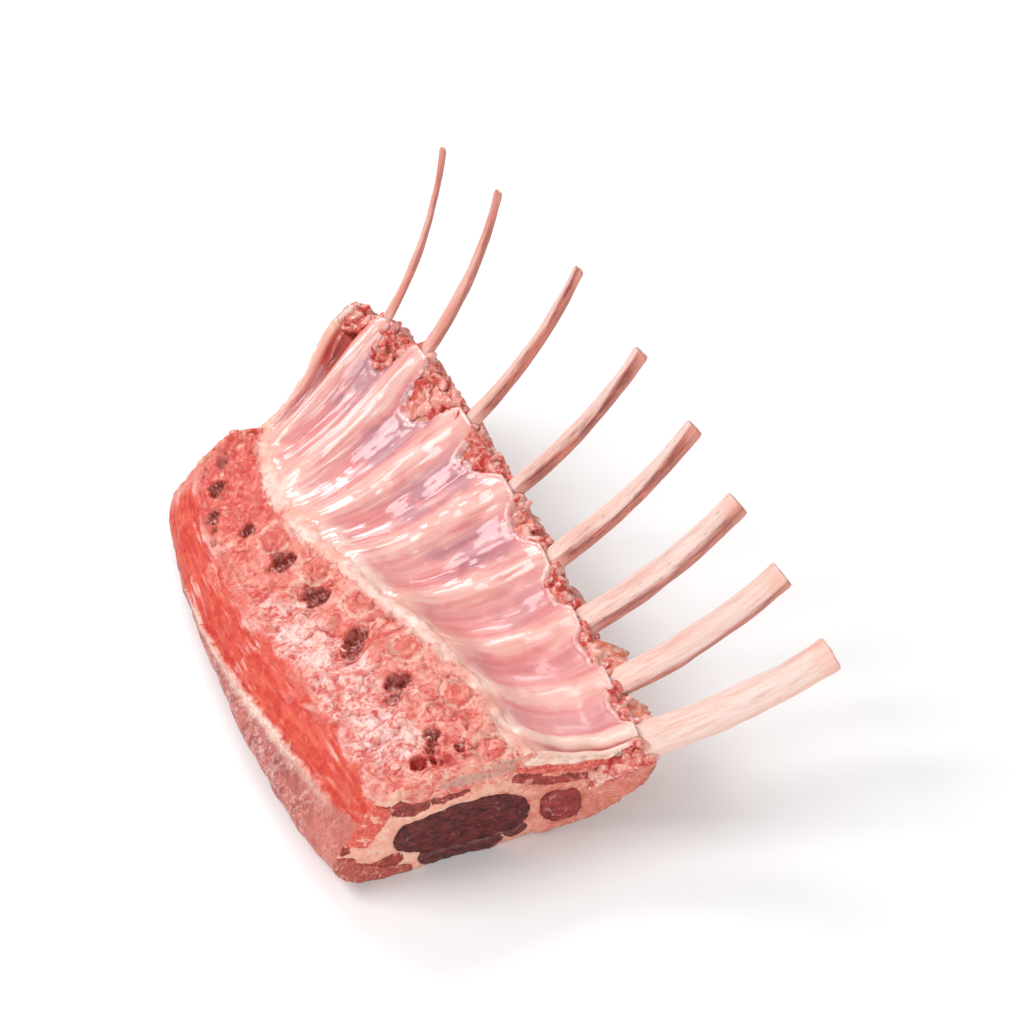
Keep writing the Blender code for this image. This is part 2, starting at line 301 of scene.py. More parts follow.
def spot_gap(points):
    """Distance (mm) from the rim of the nearest vertebra's end, below 0 inside it."""
    return gaps_to(points, VERTEBRA_SPOTS).min(axis=1) - SPOT_RADIUS


def pit_depth(points):
    """How deep inside a pit each point lies: 0 outside, up to the pit's strength at its middle."""
    radii, strengths = np.array(PITS)[:, 2], np.array(PITS)[:, 3]
    gaps = gaps_to(points, PITS) + (1.5 * bumps(points, 3.4, 7, 3) + 0.7 * bumps(points, 1.2, 8, 2))[:, None]
    return (smooth_step(gaps / radii, 1.15, 0.35) * strengths).max(axis=1)


# %% [markdown]
# The height is a sum of parts, one for each zone of the map: every part fades out where the next zone starts. Bone is
# lumpy with pits, muscle has long fibres, scraped flesh is ragged.

# %% Heights over the skin
def hollow_relief(points, turn, run):
    """Ridges over the covered ribs, folds between them, and the pocket and rim at the far end."""
    stretched = np.stack([run * 20, turn * 2.2, 0 * run], 1)
    rib = np.cos(2 * np.pi * run) * 0.5 + 0.5
    over_ribs = (0.75 + 0.55 * smooth_step(run, 4.0, 7.0)) * (rib**2.2 - 0.35)
    folds = (0.1 + 0.2 * smooth_step(run, 2, 6)) * bumps(stretched, 2.6, 2, 2)
    inside = smooth_step(turn, 0.0, 0.5) * smooth_step(turn, 2.9, 2.4)
    pocket = smooth_step(np.hypot((run - 8.55) / 0.36, (turn - 0.9) / 0.75), 1.0, 0.5)
    rim = band(run, 8.95, 0.04, 0.12) * smooth_step(turn, 2.6, 1.8) * smooth_step(turn, -0.8, -0.3)
    return inside * (over_ribs + folds + 0.3 * bumps(points, 7, 3, 2)) - 1.5 * pocket + 1.1 * rim


def bone_relief(points, turn, run):
    """Lumps, grain, creases, pits and round ends of the sawn backbone."""
    bone = smooth_step(turn, 2.95, 3.15) * smooth_step(turn, 5.3, 4.95)
    lumps, grit = bumps(points, 7.5, 5, 2), bumps(points, 1.8, 6, 2)
    creases = np.abs(bumps(points, 9.0, 17, 2))
    grainy = 0.16 + 0.24 * smooth_step(turn, 3.8, 4.3) + 0.2 * smooth_step(run, 5.8, 7.0)
    spot = spot_gap(points) + 0.8 * grit
    return bone * (1.8 * lumps + grainy * grit - 0.9 * smooth_step(creases, 0.07, 0.0)
                   - pit_depth(points) * (2.8 + 1.8 * grit)
                   + 0.7 * smooth_step(spot, 0.0, -1.6) - 0.6 * band(spot, 0.5, 0.2, 0.8))


def muscle_relief(points, turn, run):
    """Fibres of the strap and the flank, and the cord of tissue between them."""
    fibres = np.stack([run * 5, turn * 14, 0 * run], 1)
    strap = smooth_step(turn, 5.0, 5.3) * smooth_step(turn, 6.2, 6.0)
    cord = band(turn, 6.06 + 0.115 * (run - 2.6), 0.02, 0.08) * smooth_step(run, 1.0, 2.0) * smooth_step(run, 6.4, 5.6)
    flank = smooth_step(turn, 6.2, 6.5) * smooth_step(turn, 8.3, 7.9)
    return (strap * (0.7 * bumps(points, 8, 9, 2) + 0.3 * bumps(fibres, 1.6, 10, 3))
            + cord * (0.7 + 0.9 * bumps(points, 5, 11, 2))
            + flank * (0.5 * bumps(points, 8, 12, 3) + 0.22 * bumps(fibres, 1.5, 18, 2)))


def relief(points, turn, run):
    """Height (mm) of the flesh over the smooth skin."""
    height = 0.22 * bumps(points, 9, 1, 2) + hollow_relief(points, turn, run)
    crest = band(turn, 2.97, 0.06, 0.26)
    height += crest * (0.7 + 0.9 * bumps(points, 4.5, 4, 2) + 0.9 * bumps(points, 9, 16, 2))
    height += bone_relief(points, turn, run) + muscle_relief(points, turn, run)
    scraped = smooth_step(turn, membrane_edge(run) + 0.02, membrane_edge(run) - 0.06) * smooth_step(turn, -1.3, -0.9)
    height += scraped * (0.9 * bumps(points, 4.0, 13, 2) + 0.7 * bumps(points, 1.8, 14, 2) - 0.3)
    outer = smooth_step(turn, -0.9, -1.1) + smooth_step(turn, 8.0, 8.4)
    height += outer * (0.5 * bumps(points, 6, 15, 3) + 0.2 * bumps(points, 2, 19, 2))
    return height

# %% [markdown]
# ## From solid to flesh
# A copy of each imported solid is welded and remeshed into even, small faces, which can carry relief. Points near the
# outer skin then snap to the smooth map and take their height. The cut ends are treated apart: muscle swells a little
# where the knife let it go. Hidden inner walls are thinned again, since nobody sees them.

# %% Meshes and numbers
def apply_modifiers(made):
    """Give the object the mesh that its modifiers make."""
    seen = made.evaluated_get(bpy.context.evaluated_depsgraph_get())
    made.data = bpy.data.meshes.new_from_object(seen)
    made.modifiers.clear()


def remeshed(name, bm, size):
    """New object with an even mesh of about `size` mm over the same shape."""
    made = new_object(name, bm, name + "_rough")
    even = made.modifiers.new("even", "REMESH")
    even.mode = "VOXEL"
    even.voxel_size = size * MM
    soften = made.modifiers.new("soften", "SMOOTH")
    soften.factor, soften.iterations = 0.5, 2
    apply_modifiers(made)
    made.data.name = name
    return made


def welded_copy(node):
    bm = bmesh.new()
    bm.from_mesh(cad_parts[node].data)
    bmesh.ops.remove_doubles(bm, verts=bm.verts, dist=1e-6)
    return bm


def coordinates(made):
    points = np.empty(len(made.data.vertices) * 3, np.float32)
    made.data.vertices.foreach_get("co", points)
    return points.reshape(-1, 3).astype(float) / MM


def outward(made):
    """Each point's normal."""
    normals = np.empty(len(made.data.vertices) * 3, np.float32)
    made.data.vertex_normals.foreach_get("vector", normals)
    return normals.reshape(-1, 3)


def move_to(made, points):
    made.data.vertices.foreach_set("co", (points * MM).astype(np.float32).ravel())
    made.data.update()


def store(made, name, values):
    made.data.attributes.new(name, "FLOAT", "POINT").data.foreach_set("value", np.asarray(values, np.float32))


def finished(made, node=None):
    """A finished piece is smooth-shaded, rides on the rack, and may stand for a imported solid."""
    made.data.shade_smooth()
    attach(made, "root")
    if node:
        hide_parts(node)
    print(f"{made.name}: {sum(len(p.vertices) - 2 for p in made.data.polygons)} triangles")
    return made


def thin_hidden(made, hidden, ratio):
    """Fewer faces where `hidden` is 1."""
    group = made.vertex_groups.new(name="hidden")
    for number in np.flatnonzero(hidden > 0.5).tolist():
        group.add([number], 1.0, "REPLACE")
    fewer = made.modifiers.new("fewer", "DECIMATE")
    fewer.ratio, fewer.vertex_group = ratio, "hidden"
    apply_modifiers(made)
    made.vertex_groups.clear()


def end_gaps(points):
    """Distance (mm) of each point from the near cut and from the far cut."""
    flat = points - SHIFT
    x = np.clip(flat[:, 0], -40, 80)
    return flat[:, 1] - cut_y(x, np.zeros(len(x))), cut_y(x, np.full(len(x), float(LAST_RUN))) - flat[:, 1]

# %% [markdown]
# The solids leave thin gaps between each other, so each piece first grows by a third of a millimetre, a little more
# near the cuts, where a gap would show as a dark groove.

# %% Flesh
GROWTH, GROWTH_AT_CUTS = 0.32, 0.25
FLOOR_GAP = 0.02


def flesh(node, size, swell, keep=1.0):
    """The detailed piece for one soft solid: faces of `size` mm, cuts that swell by `swell` mm."""
    made = remeshed(node + "_flesh", welded_copy(node), size)
    points = coordinates(made)
    near, far = end_gaps(points)
    wider = GROWTH + GROWTH_AT_CUTS * smooth_step(np.minimum(near, far), 3.0, 1.0)
    move_to(made, points + wider[:, None] * outward(made))
    if keep < 1:
        points = coordinates(made)
        near, far = end_gaps(points)
        away = on_map(points)[4]
        thin_hidden(made, (away > 2.0) & (near > 1.5) & (far > 1.5), keep)
    points = coordinates(made)
    turn, run, height, normal, away = on_map(points)
    near, far = end_gaps(points)
    on_skin = smooth_step(away, 2.2, 1.0)
    rows = on_skin > 0
    risen = np.zeros(len(points))
    pit = np.zeros(len(points))
    pit[rows] = pit_depth(points[rows])
    risen[rows] = relief(points[rows], turn[rows], run[rows])
    move = normal * (on_skin * (risen - height))[:, None]
    ends = smooth_step(near, 1.2, 0.3) - smooth_step(far, 1.2, 0.3)
    cut = np.abs(ends) > 0
    wavy = np.zeros(len(points))
    wavy[cut] = 0.8 * bumps(points[cut], 6, 21, 3) + 0.22 * bumps(points[cut], 1.6, 22, 2)
    move[:, 1] -= ends * (swell + wavy)
    points = points + move
    points[:, 2] = np.maximum(points[:, 2], FLOOR_GAP)
    move_to(made, points)
    for name, values in (("turn", turn), ("run", run), ("near", near), ("far", far),
                         ("lift", risen), ("pit", pit), ("spot", spot_gap(points))):
        store(made, name, values)
    return finished(made, node)


meat = flesh("meat", 0.78, 0.0, 0.62)
loin_eye = flesh("loin_eye", 0.75, 0.12)
rib_cap = flesh("rib_cap", 0.65, 0.25)
backbone = flesh("backbone", 0.45, 0.0)
strap_muscle = flesh("strap_muscle", 0.5, 0.2)
flank_muscle = flesh("flank_muscle", 0.6, 0.2)

# %% [markdown]
# ## Shader maths
# Wet flesh is many thin patterns over each other. A small class wraps a socket, so that a pattern can be written as a
# sum or product, and a finish keeps its own node tree. What is the same all over is set on the shader itself.

# %% Values
class Value:
    """A socket that Python's arithmetic works on."""

    def __init__(self, finish, socket):
        self.finish, self.socket = finish, socket

    def math(self, operation, *values):
        return self.finish.add("Math", {"operation": operation}, dict(enumerate(values)))

    def __add__(self, other):
        return self.math("ADD", self, other)

    def __sub__(self, other):
        return self.math("SUBTRACT", self, other)

    def __rsub__(self, other):
        return self.math("SUBTRACT", other, self)

    def __mul__(self, other):
        return self.math("MULTIPLY", self, other)

    __radd__, __rmul__ = __add__, __mul__

    def step(self, low, high):
        """0 below low and 1 above high, smoothly; the other way round if low is above high."""
        ends = {"Value": self, "From Min": low, "From Max": high}
        return self.finish.add("MapRange", {"interpolation_type": "SMOOTHSTEP"}, ends)

    def near(self, middle, half):
        """1 at the middle, falling to 0 at `half` away."""
        return self.math("ABSOLUTE", self - middle).step(half, 0.0)

# %% [markdown]
# A finish starts from Blender's own Principled shader. Colours are mixed as bright as they look under strong light, and
# the flesh itself gives back a share of that, so that the lamps may be strong without burning the fat out.

# %% Finishes
GIVEN_BACK = 0.86
WET = dict(Specular_IOR_Level=0.35, Coat_Weight=0.12, Coat_Roughness=0.12, Subsurface_Radius=(1.0, 0.35, 0.25),
           Subsurface_Scale=0.0025)


class Finish:
    """The node tree of one surface finish."""

    def __init__(self, name, **fixed):
        self.material = bpy.data.materials.new(name)
        self.material.use_nodes = True
        self.tree = self.material.node_tree
        self.shader = self.tree.nodes["Principled BSDF"]
        for socket, value in fixed.items():
            self.shader.inputs[socket.replace("_", " ")].default_value = value
        self.place = self.add("TexCoord", output="Object")

    def add(self, kind, settings=None, sockets=None, output=0):
        node = self.tree.nodes.new("ShaderNode" + kind)
        for name, value in (settings or {}).items():
            setattr(node, name, value)
        for name, value in (sockets or {}).items():
            self.join(value, node.inputs[name])
        return Value(self, node.outputs[output])

    def join(self, value, socket):
        if isinstance(value, Value):
            self.tree.links.new(value.socket, socket)
        else:
            socket.default_value = (*value, 1) if socket.type == "RGBA" and len(value) == 3 else value

    def number(self, name):
        return self.add("Attribute", {"attribute_name": name}, output="Fac")

    def vector(self, x, y, z):
        return self.add("CombineXYZ", None, {"X": x, "Y": y, "Z": z})

    def scaled(self, vector, x, y, z):
        return self.add("VectorMath", {"operation": "MULTIPLY"}, {0: vector, 1: (x, y, z)})

    def grain(self, size, where=None, detail=3, rough=0.5, bend=0.0):
        """Noise from 0 to 1 in lumps of about `size`, in mm on Object coordinates."""
        scale = 1 / (size * MM) if where is None else 1 / size
        return self.add("TexNoise", None, {"Vector": where or self.place, "Scale": scale, "Detail": detail,
                                           "Roughness": rough, "Distortion": bend})

    def mix(self, share, first, second):
        return self.add("Mix", {"data_type": "RGBA"}, {0: share, 6: first, 7: second}, output=2)

    def bump(self, height, depth):
        return self.add("Bump", None, {"Height": height, "Strength": 1.0, "Distance": depth * MM})

    def feed(self, Base_Color, **sockets):
        """Link what varies over the surface to the shader."""
        sockets["Base_Color"] = self.scaled(Base_Color, GIVEN_BACK, GIVEN_BACK, GIVEN_BACK)
        for name, value in sockets.items():
            self.join(value, self.shader.inputs[name.replace("_", " ")])
        print(f"{self.material.name}: {len(self.tree.nodes)} nodes")
        return self.material


def wear(made, material):
    made.data.materials.clear()
    made.data.materials.append(material)

# %% [markdown]
# ## Fat and small muscles on the cuts
# One solid holds the meat between the other layers. On a cut it shows as fat with strips of dark muscle, a band of
# gristle and the pale end of the chest skin in it. Each is some ovals on the cut, stored on the mesh as distances,
# so that the finish can fray their edges.

# %% Ovals on the two cuts
# Each oval: middle x, middle z, half width, half height (mm), turn (degrees)
NEAR_RED = [(3.5, 27.0, 6.0, 4.0, 0), (-5, 28, 3.6, 2.5, 0), (15.0, 27.6, 6.2, 2.4, 4), (38, 25.0, 6, 2.0, -12),
            (50, 22.4, 11, 1.7, -4), (63, 22.0, 8, 1.1, 5), (-4, 5.6, 5.5, 3.0, 8), (-17, 19, 2.6, 5.0, 20)]
NEAR_BRIGHT = [(40, 27.9, 7, 1.3, -8), (52, 26.4, 10, 1.1, 0), (64, 26.8, 8, 1.8, 8)]
NEAR_GREY = [(23, 31.6, 12, 1.9, -2), (31, 33.5, 4, 2.4, 20)]
NEAR_CREAM = [(53, 31.0, 17, 3.0, -2)]
NEAR_DARK = [(12, 3.4, 7, 4.0, 0), (22, 3.2, 8, 3.8, 0), (33, 6.0, 4, 2.0, 10)]
FAR_RED = [(37, 37, 11, 1.8, 52), (0, 14, 5, 3.0, 20), (10, 21, 6, 2.0, 10), (46, 40, 8, 1.5, 60),
           (-8, 5, 5, 2.5, 10), (32, 24, 4, 2, 40)]
FAR_CREAM = [(38, 44, 13, 2.4, 62)]
NOWHERE = 20  # a distance that no oval's edge reaches
CUT_MARKS = {"red_oval": (NEAR_RED, FAR_RED), "bright_oval": (NEAR_BRIGHT, []), "grey_oval": (NEAR_GREY, []),
             "cream_oval": (NEAR_CREAM, FAR_CREAM), "dark_oval": (NEAR_DARK, [])}


def ovals(x, z, marks):
    """Distance (mm) to the edge of the nearest oval, below 0 inside it."""
    gaps = []
    for middle_x, middle_z, wide, high, turn in marks:
        turn = math.radians(turn)
        along_it = (x - middle_x) * math.cos(turn) + (z - middle_z) * math.sin(turn)
        over_it = (z - middle_z) * math.cos(turn) - (x - middle_x) * math.sin(turn)
        length = np.maximum(np.hypot(along_it / wide, over_it / high), 1e-3)
        gaps.append(np.hypot(along_it, over_it) * (1 - 1 / length))
    return np.min(gaps, axis=0)


for made in (meat, backbone):
    points = coordinates(made)
    near, far = end_gaps(points)
    x, z = points[:, 0] - SHIFT[0], points[:, 2]
    for name, (at_near, at_far) in CUT_MARKS.items():
        far_gap = ovals(x, z, at_far) if at_far else NOWHERE
        store(made, name, np.where(near < far, ovals(x, z, at_near), far_gap))
    print(made.name, "marks:", *CUT_MARKS)
turn_map, run_map = on_map(coordinates(meat))[:2]
store(meat, "scraped", membrane_edge(run_map) - turn_map)

# %% [markdown]
# ## One paint for the outside
# Sawn bone, muscle and fat run into each other without a line, so they share one paint: it reads where a point lies on
# the map, and each zone's border is frayed by the same noise. The backbone is spongy bone, salmon pink, powdered with
# pale bone meal, with round ends of vertebrae and dark pits. A wet orange-red strap of muscle runs below it, then a
# cord of white tissue, a dusky muscle under a haze of fine fibres, and peach fat round the outside.

# %% Sawn bone
def chine_colour(f, turn, run, lift, patches, lumps, grain, fine):
    """The sawn backbone: salmon bone, red where it is wet and painted red as shade in its low places, then meal, round
    ends and pits.
    """
    blotch, streaks = f.grain(6.5, detail=4, rough=0.6, bend=1.2), f.grain(3.6, detail=5, rough=0.64, bend=1.6)
    colour = f.mix((lumps * 0.6 + patches * 0.4).step(0.40, 0.60), (0.76, 0.19, 0.145), (0.87, 0.36, 0.28))
    redder = f.mix(patches.step(0.4, 0.6), (0.66, 0.07, 0.055), (0.80, 0.17, 0.13))
    colour = f.mix(run.step(5.4, 6.8) * 0.85, colour, redder)
    colour = f.mix(blotch.step(0.54, 0.66) * 0.75, colour, (0.92, 0.50, 0.41))
    # Partly painted shade: the red streaks come more where the relief is low (low lift), as well as towards both ends.
    wet_and_shaded = run.step(5.4, 7.0) * 0.05 + run.step(2.8, 1.0) * 0.03 + lift * -0.05
    colour = f.mix((streaks + wet_and_shaded).step(0.54, 0.64) * 0.85, colour, (0.70, 0.05, 0.042))
    powder = turn.near(4.55, 0.85).step(0.0, 0.7) * run.near(3.0, 3.2).step(0.0, 0.5) * 0.62
    powder = (powder + run.step(2.6, 1.0) * 0.16 + (blotch - 0.5) * 1.5
              + (streaks - 0.5) * -0.9 + (grain - 0.5) * 1.3).step(0.40, 0.95)
    colour = f.mix(powder * 0.85, colour, f.mix(fine, (0.93, 0.60, 0.55), (0.99, 0.80, 0.76)))
    # Painted shade: the low places of the relief are painted deep red.
    colour = f.mix(lift.step(-0.5, -1.6) * 0.6, colour, (0.66, 0.065, 0.05))
    spot = f.number("spot") + (lumps - 0.5) * 3.0 + (grain - 0.5) * 0.8
    colour = f.mix(spot.near(1.0, 1.5) * 0.7, colour, (0.94, 0.60, 0.48))
    core = f.mix((grain * 0.5 + lumps * 0.5).step(0.4, 0.6), (0.72, 0.13, 0.10), (0.84, 0.27, 0.21))
    colour = f.mix(spot.step(0.5, -1.0), colour, core)
    pit = f.number("pit") + (grain - 0.5) * 0.4 + (streaks - 0.5) * 1.3
    inside = f.mix((grain * 0.5 + streaks * 0.5).step(0.42, 0.58), (0.26, 0.022, 0.018), (0.52, 0.13, 0.10))
    inside = f.mix((grain * 0.6 + blotch * 0.5).step(0.57, 0.66) * 0.85, inside, (0.84, 0.48, 0.42))
    inside = f.mix(run.step(1.0, 0.8), inside, f.mix(grain, (0.34, 0.016, 0.012), (0.70, 0.06, 0.045)))
    colour = f.mix(pit.step(-0.05, 0.2) * 0.85, colour, (0.68, 0.075, 0.055))
    return f.mix(pit.step(0.10, 0.38), colour, inside)

# %% Muscle and fat
def strap_colour(f, turn, run, lumps, grain):
    """The wet muscle below the bone, with pale film where it was skinned."""
    fibre = f.vector(run * 3.0, turn * 12.0, 0.0)
    lines = f.grain(1.0, fibre, detail=4, rough=0.6, bend=0.3)
    broad = f.grain(2.4, fibre, detail=4, rough=0.6, bend=0.8)
    colour = f.mix(lumps.step(0.35, 0.68), (0.60, 0.022, 0.010), (0.75, 0.075, 0.032))
    colour = f.mix(broad.step(0.44, 0.66) * 0.55, colour, (0.84, 0.14, 0.085))
    colour = f.mix(lines.step(0.54, 0.72) * 0.35, colour, (0.90, 0.30, 0.20))
    pale_wash = (broad * 1.2 + lines * 0.5 + turn.near(5.0, 0.45) * 0.26 + turn.near(6.0, 0.2) * 0.2
            + (f.grain(12, detail=3) - 0.5) * 1.1 + run.step(1.7, 0.5) * 0.2)
    pale = f.mix(grain.step(0.4, 0.6), (0.92, 0.50, 0.43), (0.97, 0.74, 0.67))
    return f.mix(pale_wash.step(1.0, 1.32) * 0.6, colour, pale), lines


def flank_colour(f, turn, run, lumps):
    """Dusky muscle under a haze of fine fibres, with pale veins."""
    across = f.vector(run * 10.0, turn * 5.0, 0.0)
    fuzz = f.grain(0.9, across, detail=5, rough=0.75, bend=0.8)
    colour = f.mix(lumps.step(0.35, 0.65), (0.34, 0.055, 0.046), (0.62, 0.17, 0.14))
    haze = fuzz.step(0.46, 0.66) * f.grain(10, detail=3).step(0.34, 0.58)
    colour = f.mix(haze * 0.75, colour, (0.92, 0.62, 0.56))
    veins = f.grain(6, detail=4, rough=0.6, bend=1.8).near(0.5, 0.025) * f.grain(8).step(0.45, 0.6)
    colour = f.mix(veins * 0.6, colour, (0.88, 0.62, 0.54))
    return f.mix(run.step(2.2, 0.8) * 0.5, colour, (0.72, 0.19, 0.14)), fuzz


def fat_colour(f, lumps, grain):
    """Peach fat with whiter lumps, thin red patches where lean shows, and veins."""
    colour = f.mix(f.grain(9, detail=3).step(0.35, 0.65), (0.82, 0.34, 0.25), (0.90, 0.52, 0.40))
    colour = f.mix((lumps + grain * 0.5).step(0.80, 0.95) * 0.7, colour, (0.95, 0.74, 0.64))
    colour = f.mix(f.grain(13, detail=4, rough=0.65, bend=0.5).step(0.58, 0.66) * 0.75, colour, (0.50, 0.10, 0.075))
    return f.mix(f.grain(9, detail=4, rough=0.55, bend=1.5).near(0.5, 0.02) * 0.45, colour, (0.96, 0.76, 0.68))


# %% Where each look lies
def outside(f):
    """Colour, roughness and height of the outer surface, and the noises it was made from."""
    turn, run, lift = f.number("turn"), f.number("run"), f.number("lift")
    patches, lumps = f.grain(11, detail=3), f.grain(3.4, detail=4, rough=0.6, bend=0.5)
    grain, fine = f.grain(1.0, detail=4, rough=0.65), f.grain(0.4)
    fray = (lumps - 0.5) * 0.55 + (grain - 0.5) * 0.3
    chine = chine_colour(f, turn, run, lift, patches, lumps, grain, fine)
    strap, lines = strap_colour(f, turn, run, lumps, grain)
    flank, fuzz = flank_colour(f, turn, run, lumps)
    fat = fat_colour(f, lumps, grain)
    ridge = f.mix((grain * 0.4 + lumps).step(0.5, 0.85), (0.93, 0.50, 0.41), (0.98, 0.76, 0.68))
    # Red flesh and painted shade: the low places between the ridge's lumps (low lift) are painted red.
    ridge = f.mix((lift + fray * 2).step(0.3, -0.8) * 0.8, ridge, (0.84, 0.30, 0.24))
    ridge = f.mix((patches * 0.6 + lumps * 0.4).step(0.48, 0.56) * 0.8, ridge, (0.90, 0.40, 0.31))
    colour = f.mix((turn + fray * 0.9 + (patches - 0.5) * 0.5).step(3.2, 3.06), chine, ridge)
    colour = f.mix((turn + fray * 1.2 + (patches - 0.5) * 0.8).step(4.76, 5.2), colour, strap)
    cord = (turn - (run - 2.6) * 0.115 + fray * 0.12)
    colour = f.mix(cord.step(5.98, 6.1), colour, flank)
    tissue = (cord + (lumps - 0.5) * 0.3).near(6.08, 0.19) * run.step(0.6, 2.4) * run.step(6.6, 5.4)
    tissue = tissue * (patches.step(0.32, 0.56) * 0.6 + 0.4)
    colour = f.mix(tissue, colour, f.mix(grain.step(0.4, 0.6), (0.90, 0.50, 0.40), (0.97, 0.76, 0.66)))
    colour = f.mix(f.number("far").step(9.0, 2.0) * turn.step(4.0, 5.0) * 0.6, colour, (0.82, 0.30, 0.23))
    colour = f.mix((turn + fray).step(7.7, 8.0) + turn.step(-0.8, -1.1), colour, fat)
    scraps = f.mix(lumps.step(0.40, 0.60), (0.68, 0.085, 0.055), (0.86, 0.34, 0.26))
    scraps = f.mix((grain + lift * 0.15).step(0.52, 0.64) * 0.9, scraps, (0.96, 0.78, 0.71))
    scraped = f.number("scraped").step(-0.02, 0.04) * turn.step(-1.4, -0.9) * turn.step(3.0, 2.0)
    colour = f.mix(scraped, colour, scraps)
    height = lumps * 0.4 + grain * 0.45 + fine * 0.15 + lines * 0.1 + fuzz * 0.1
    return colour, grain * 0.3 + 0.25, height, lumps, grain

# %% [markdown]
# A knife shows what lies inside. On a cut the outside gives way to a look of its own: bundles of fibre seen end on,
# porous bone, or fat. The distances from the two cuts tell the finish where to change over.

# %% Cut faces
def muscle_cut(f, deep, light, fleck):
    """Cut muscle: bundles of fibre seen end on, with flecks of fat."""
    bundles = f.scaled(f.place, 1.0, 1.0, 2.0)
    weave = f.grain(2.6 * MM, bundles, detail=5, rough=0.68, bend=0.6)
    colour = f.mix(weave.step(0.36, 0.66), deep, light)
    colour = f.mix(f.grain(6, detail=3).step(0.5, 0.68) * 0.45, colour, light)
    colour = f.mix(f.grain(3.5, detail=5, rough=0.7, bend=1.2).step(0.60, 0.68) * 0.35, colour, fleck)
    return f.mix(f.grain(1.1, detail=4, rough=0.7).step(0.66, 0.72) * 0.8, colour, fleck), weave


def layer_finish(name, cut=None, **fixed):
    """A finish with the shared outside, and its own look on the two cuts."""
    f = Finish(name, **{**WET, "Subsurface_Weight": 0.15, **fixed})
    colour, rough, height, lumps, grain = outside(f)
    if cut:
        at_cut = (f.number("near") + (grain - 0.5) * 0.2).step(0.6, 0.25) + f.number("far").step(0.6, 0.25)
        colour = f.mix(at_cut, colour, cut(f, lumps, grain))
    return f.feed(Base_Color=colour, Roughness=rough, Normal=f.bump(height, 0.6))


def bone_cut(f, lumps, grain):
    colour = f.mix(lumps.step(0.4, 0.6), (0.74, 0.12, 0.09), (0.88, 0.34, 0.25))
    colour = f.mix(f.grain(4, detail=4, rough=0.6, bend=1.2).step(0.53, 0.62) * 0.8, colour, (0.93, 0.55, 0.43))
    colour = f.mix(f.number("grey_oval").step(1.5, -1.5) * lumps.step(0.3, 0.5) * 0.8, colour, (0.55, 0.33, 0.27))
    return f.mix(grain.step(0.55, 0.64) * 0.7, colour, (0.55, 0.06, 0.04))


def strap_cut(f, lumps, grain):
    colour = f.mix(grain.step(0.38, 0.60), (0.62, 0.055, 0.035), (0.84, 0.15, 0.10))
    return f.mix((lumps + (grain - 0.5) * 0.4).step(0.54, 0.62) * 0.8, colour, (0.92, 0.50, 0.40))


def flank_cut(f, lumps, grain):
    colour = f.mix(grain.step(0.36, 0.62), (0.34, 0.045, 0.035), (0.58, 0.12, 0.09))
    return f.mix((lumps + (grain - 0.5) * 0.4).step(0.56, 0.64) * 0.6, colour, (0.86, 0.42, 0.33))


wear(backbone, layer_finish("sawn_backbone", bone_cut, Coat_Weight=0.25, Coat_Roughness=0.1))
wear(strap_muscle, layer_finish("strap_muscle_wet", strap_cut, Coat_Weight=0.2, Coat_Roughness=0.07))
wear(flank_muscle, layer_finish("flank_muscle_hazy", flank_cut))

# %% [markdown]
# ## The loin eye and the cap
# The loin eye was cut some time before and has darkened to maroon; its grain runs along the rack, so the cut shows
# short bundles and small pale flecks of fat. The cap beside it is redder. Both take one finish with different colours.

# %% Cut muscle finish
LOIN_DEEP, LOIN_LIGHT = (0.055, 0.005, 0.006), (0.19, 0.026, 0.022)


def cut_muscle_finish(name, deep, light, fleck):
    f = Finish(name, **{**WET, "Coat_Weight": 0.05, "Specular_IOR_Level": 0.25}, Subsurface_Weight=0.04)
    colour, weave = muscle_cut(f, deep, light, fleck)
    return f.feed(Base_Color=colour, Roughness=weave * 0.2 + 0.3, Normal=f.bump(weave + f.grain(0.5) * 0.3, 0.6))


wear(loin_eye, cut_muscle_finish("loin_eye_cut", LOIN_DEEP, LOIN_LIGHT, (0.66, 0.36, 0.33)))
wear(rib_cap, cut_muscle_finish("rib_cap_cut", (0.16, 0.012, 0.012), (0.44, 0.060, 0.050), (0.82, 0.48, 0.45)))

# %% [markdown]
# ## The meat between
# What holds the other layers is mostly fat: peach on the side of the backbone, pinker and full of lean on the side of
# the ribs. The ovals stored above lay gristle, the end of the chest skin and strips of red and dark muscle over it.

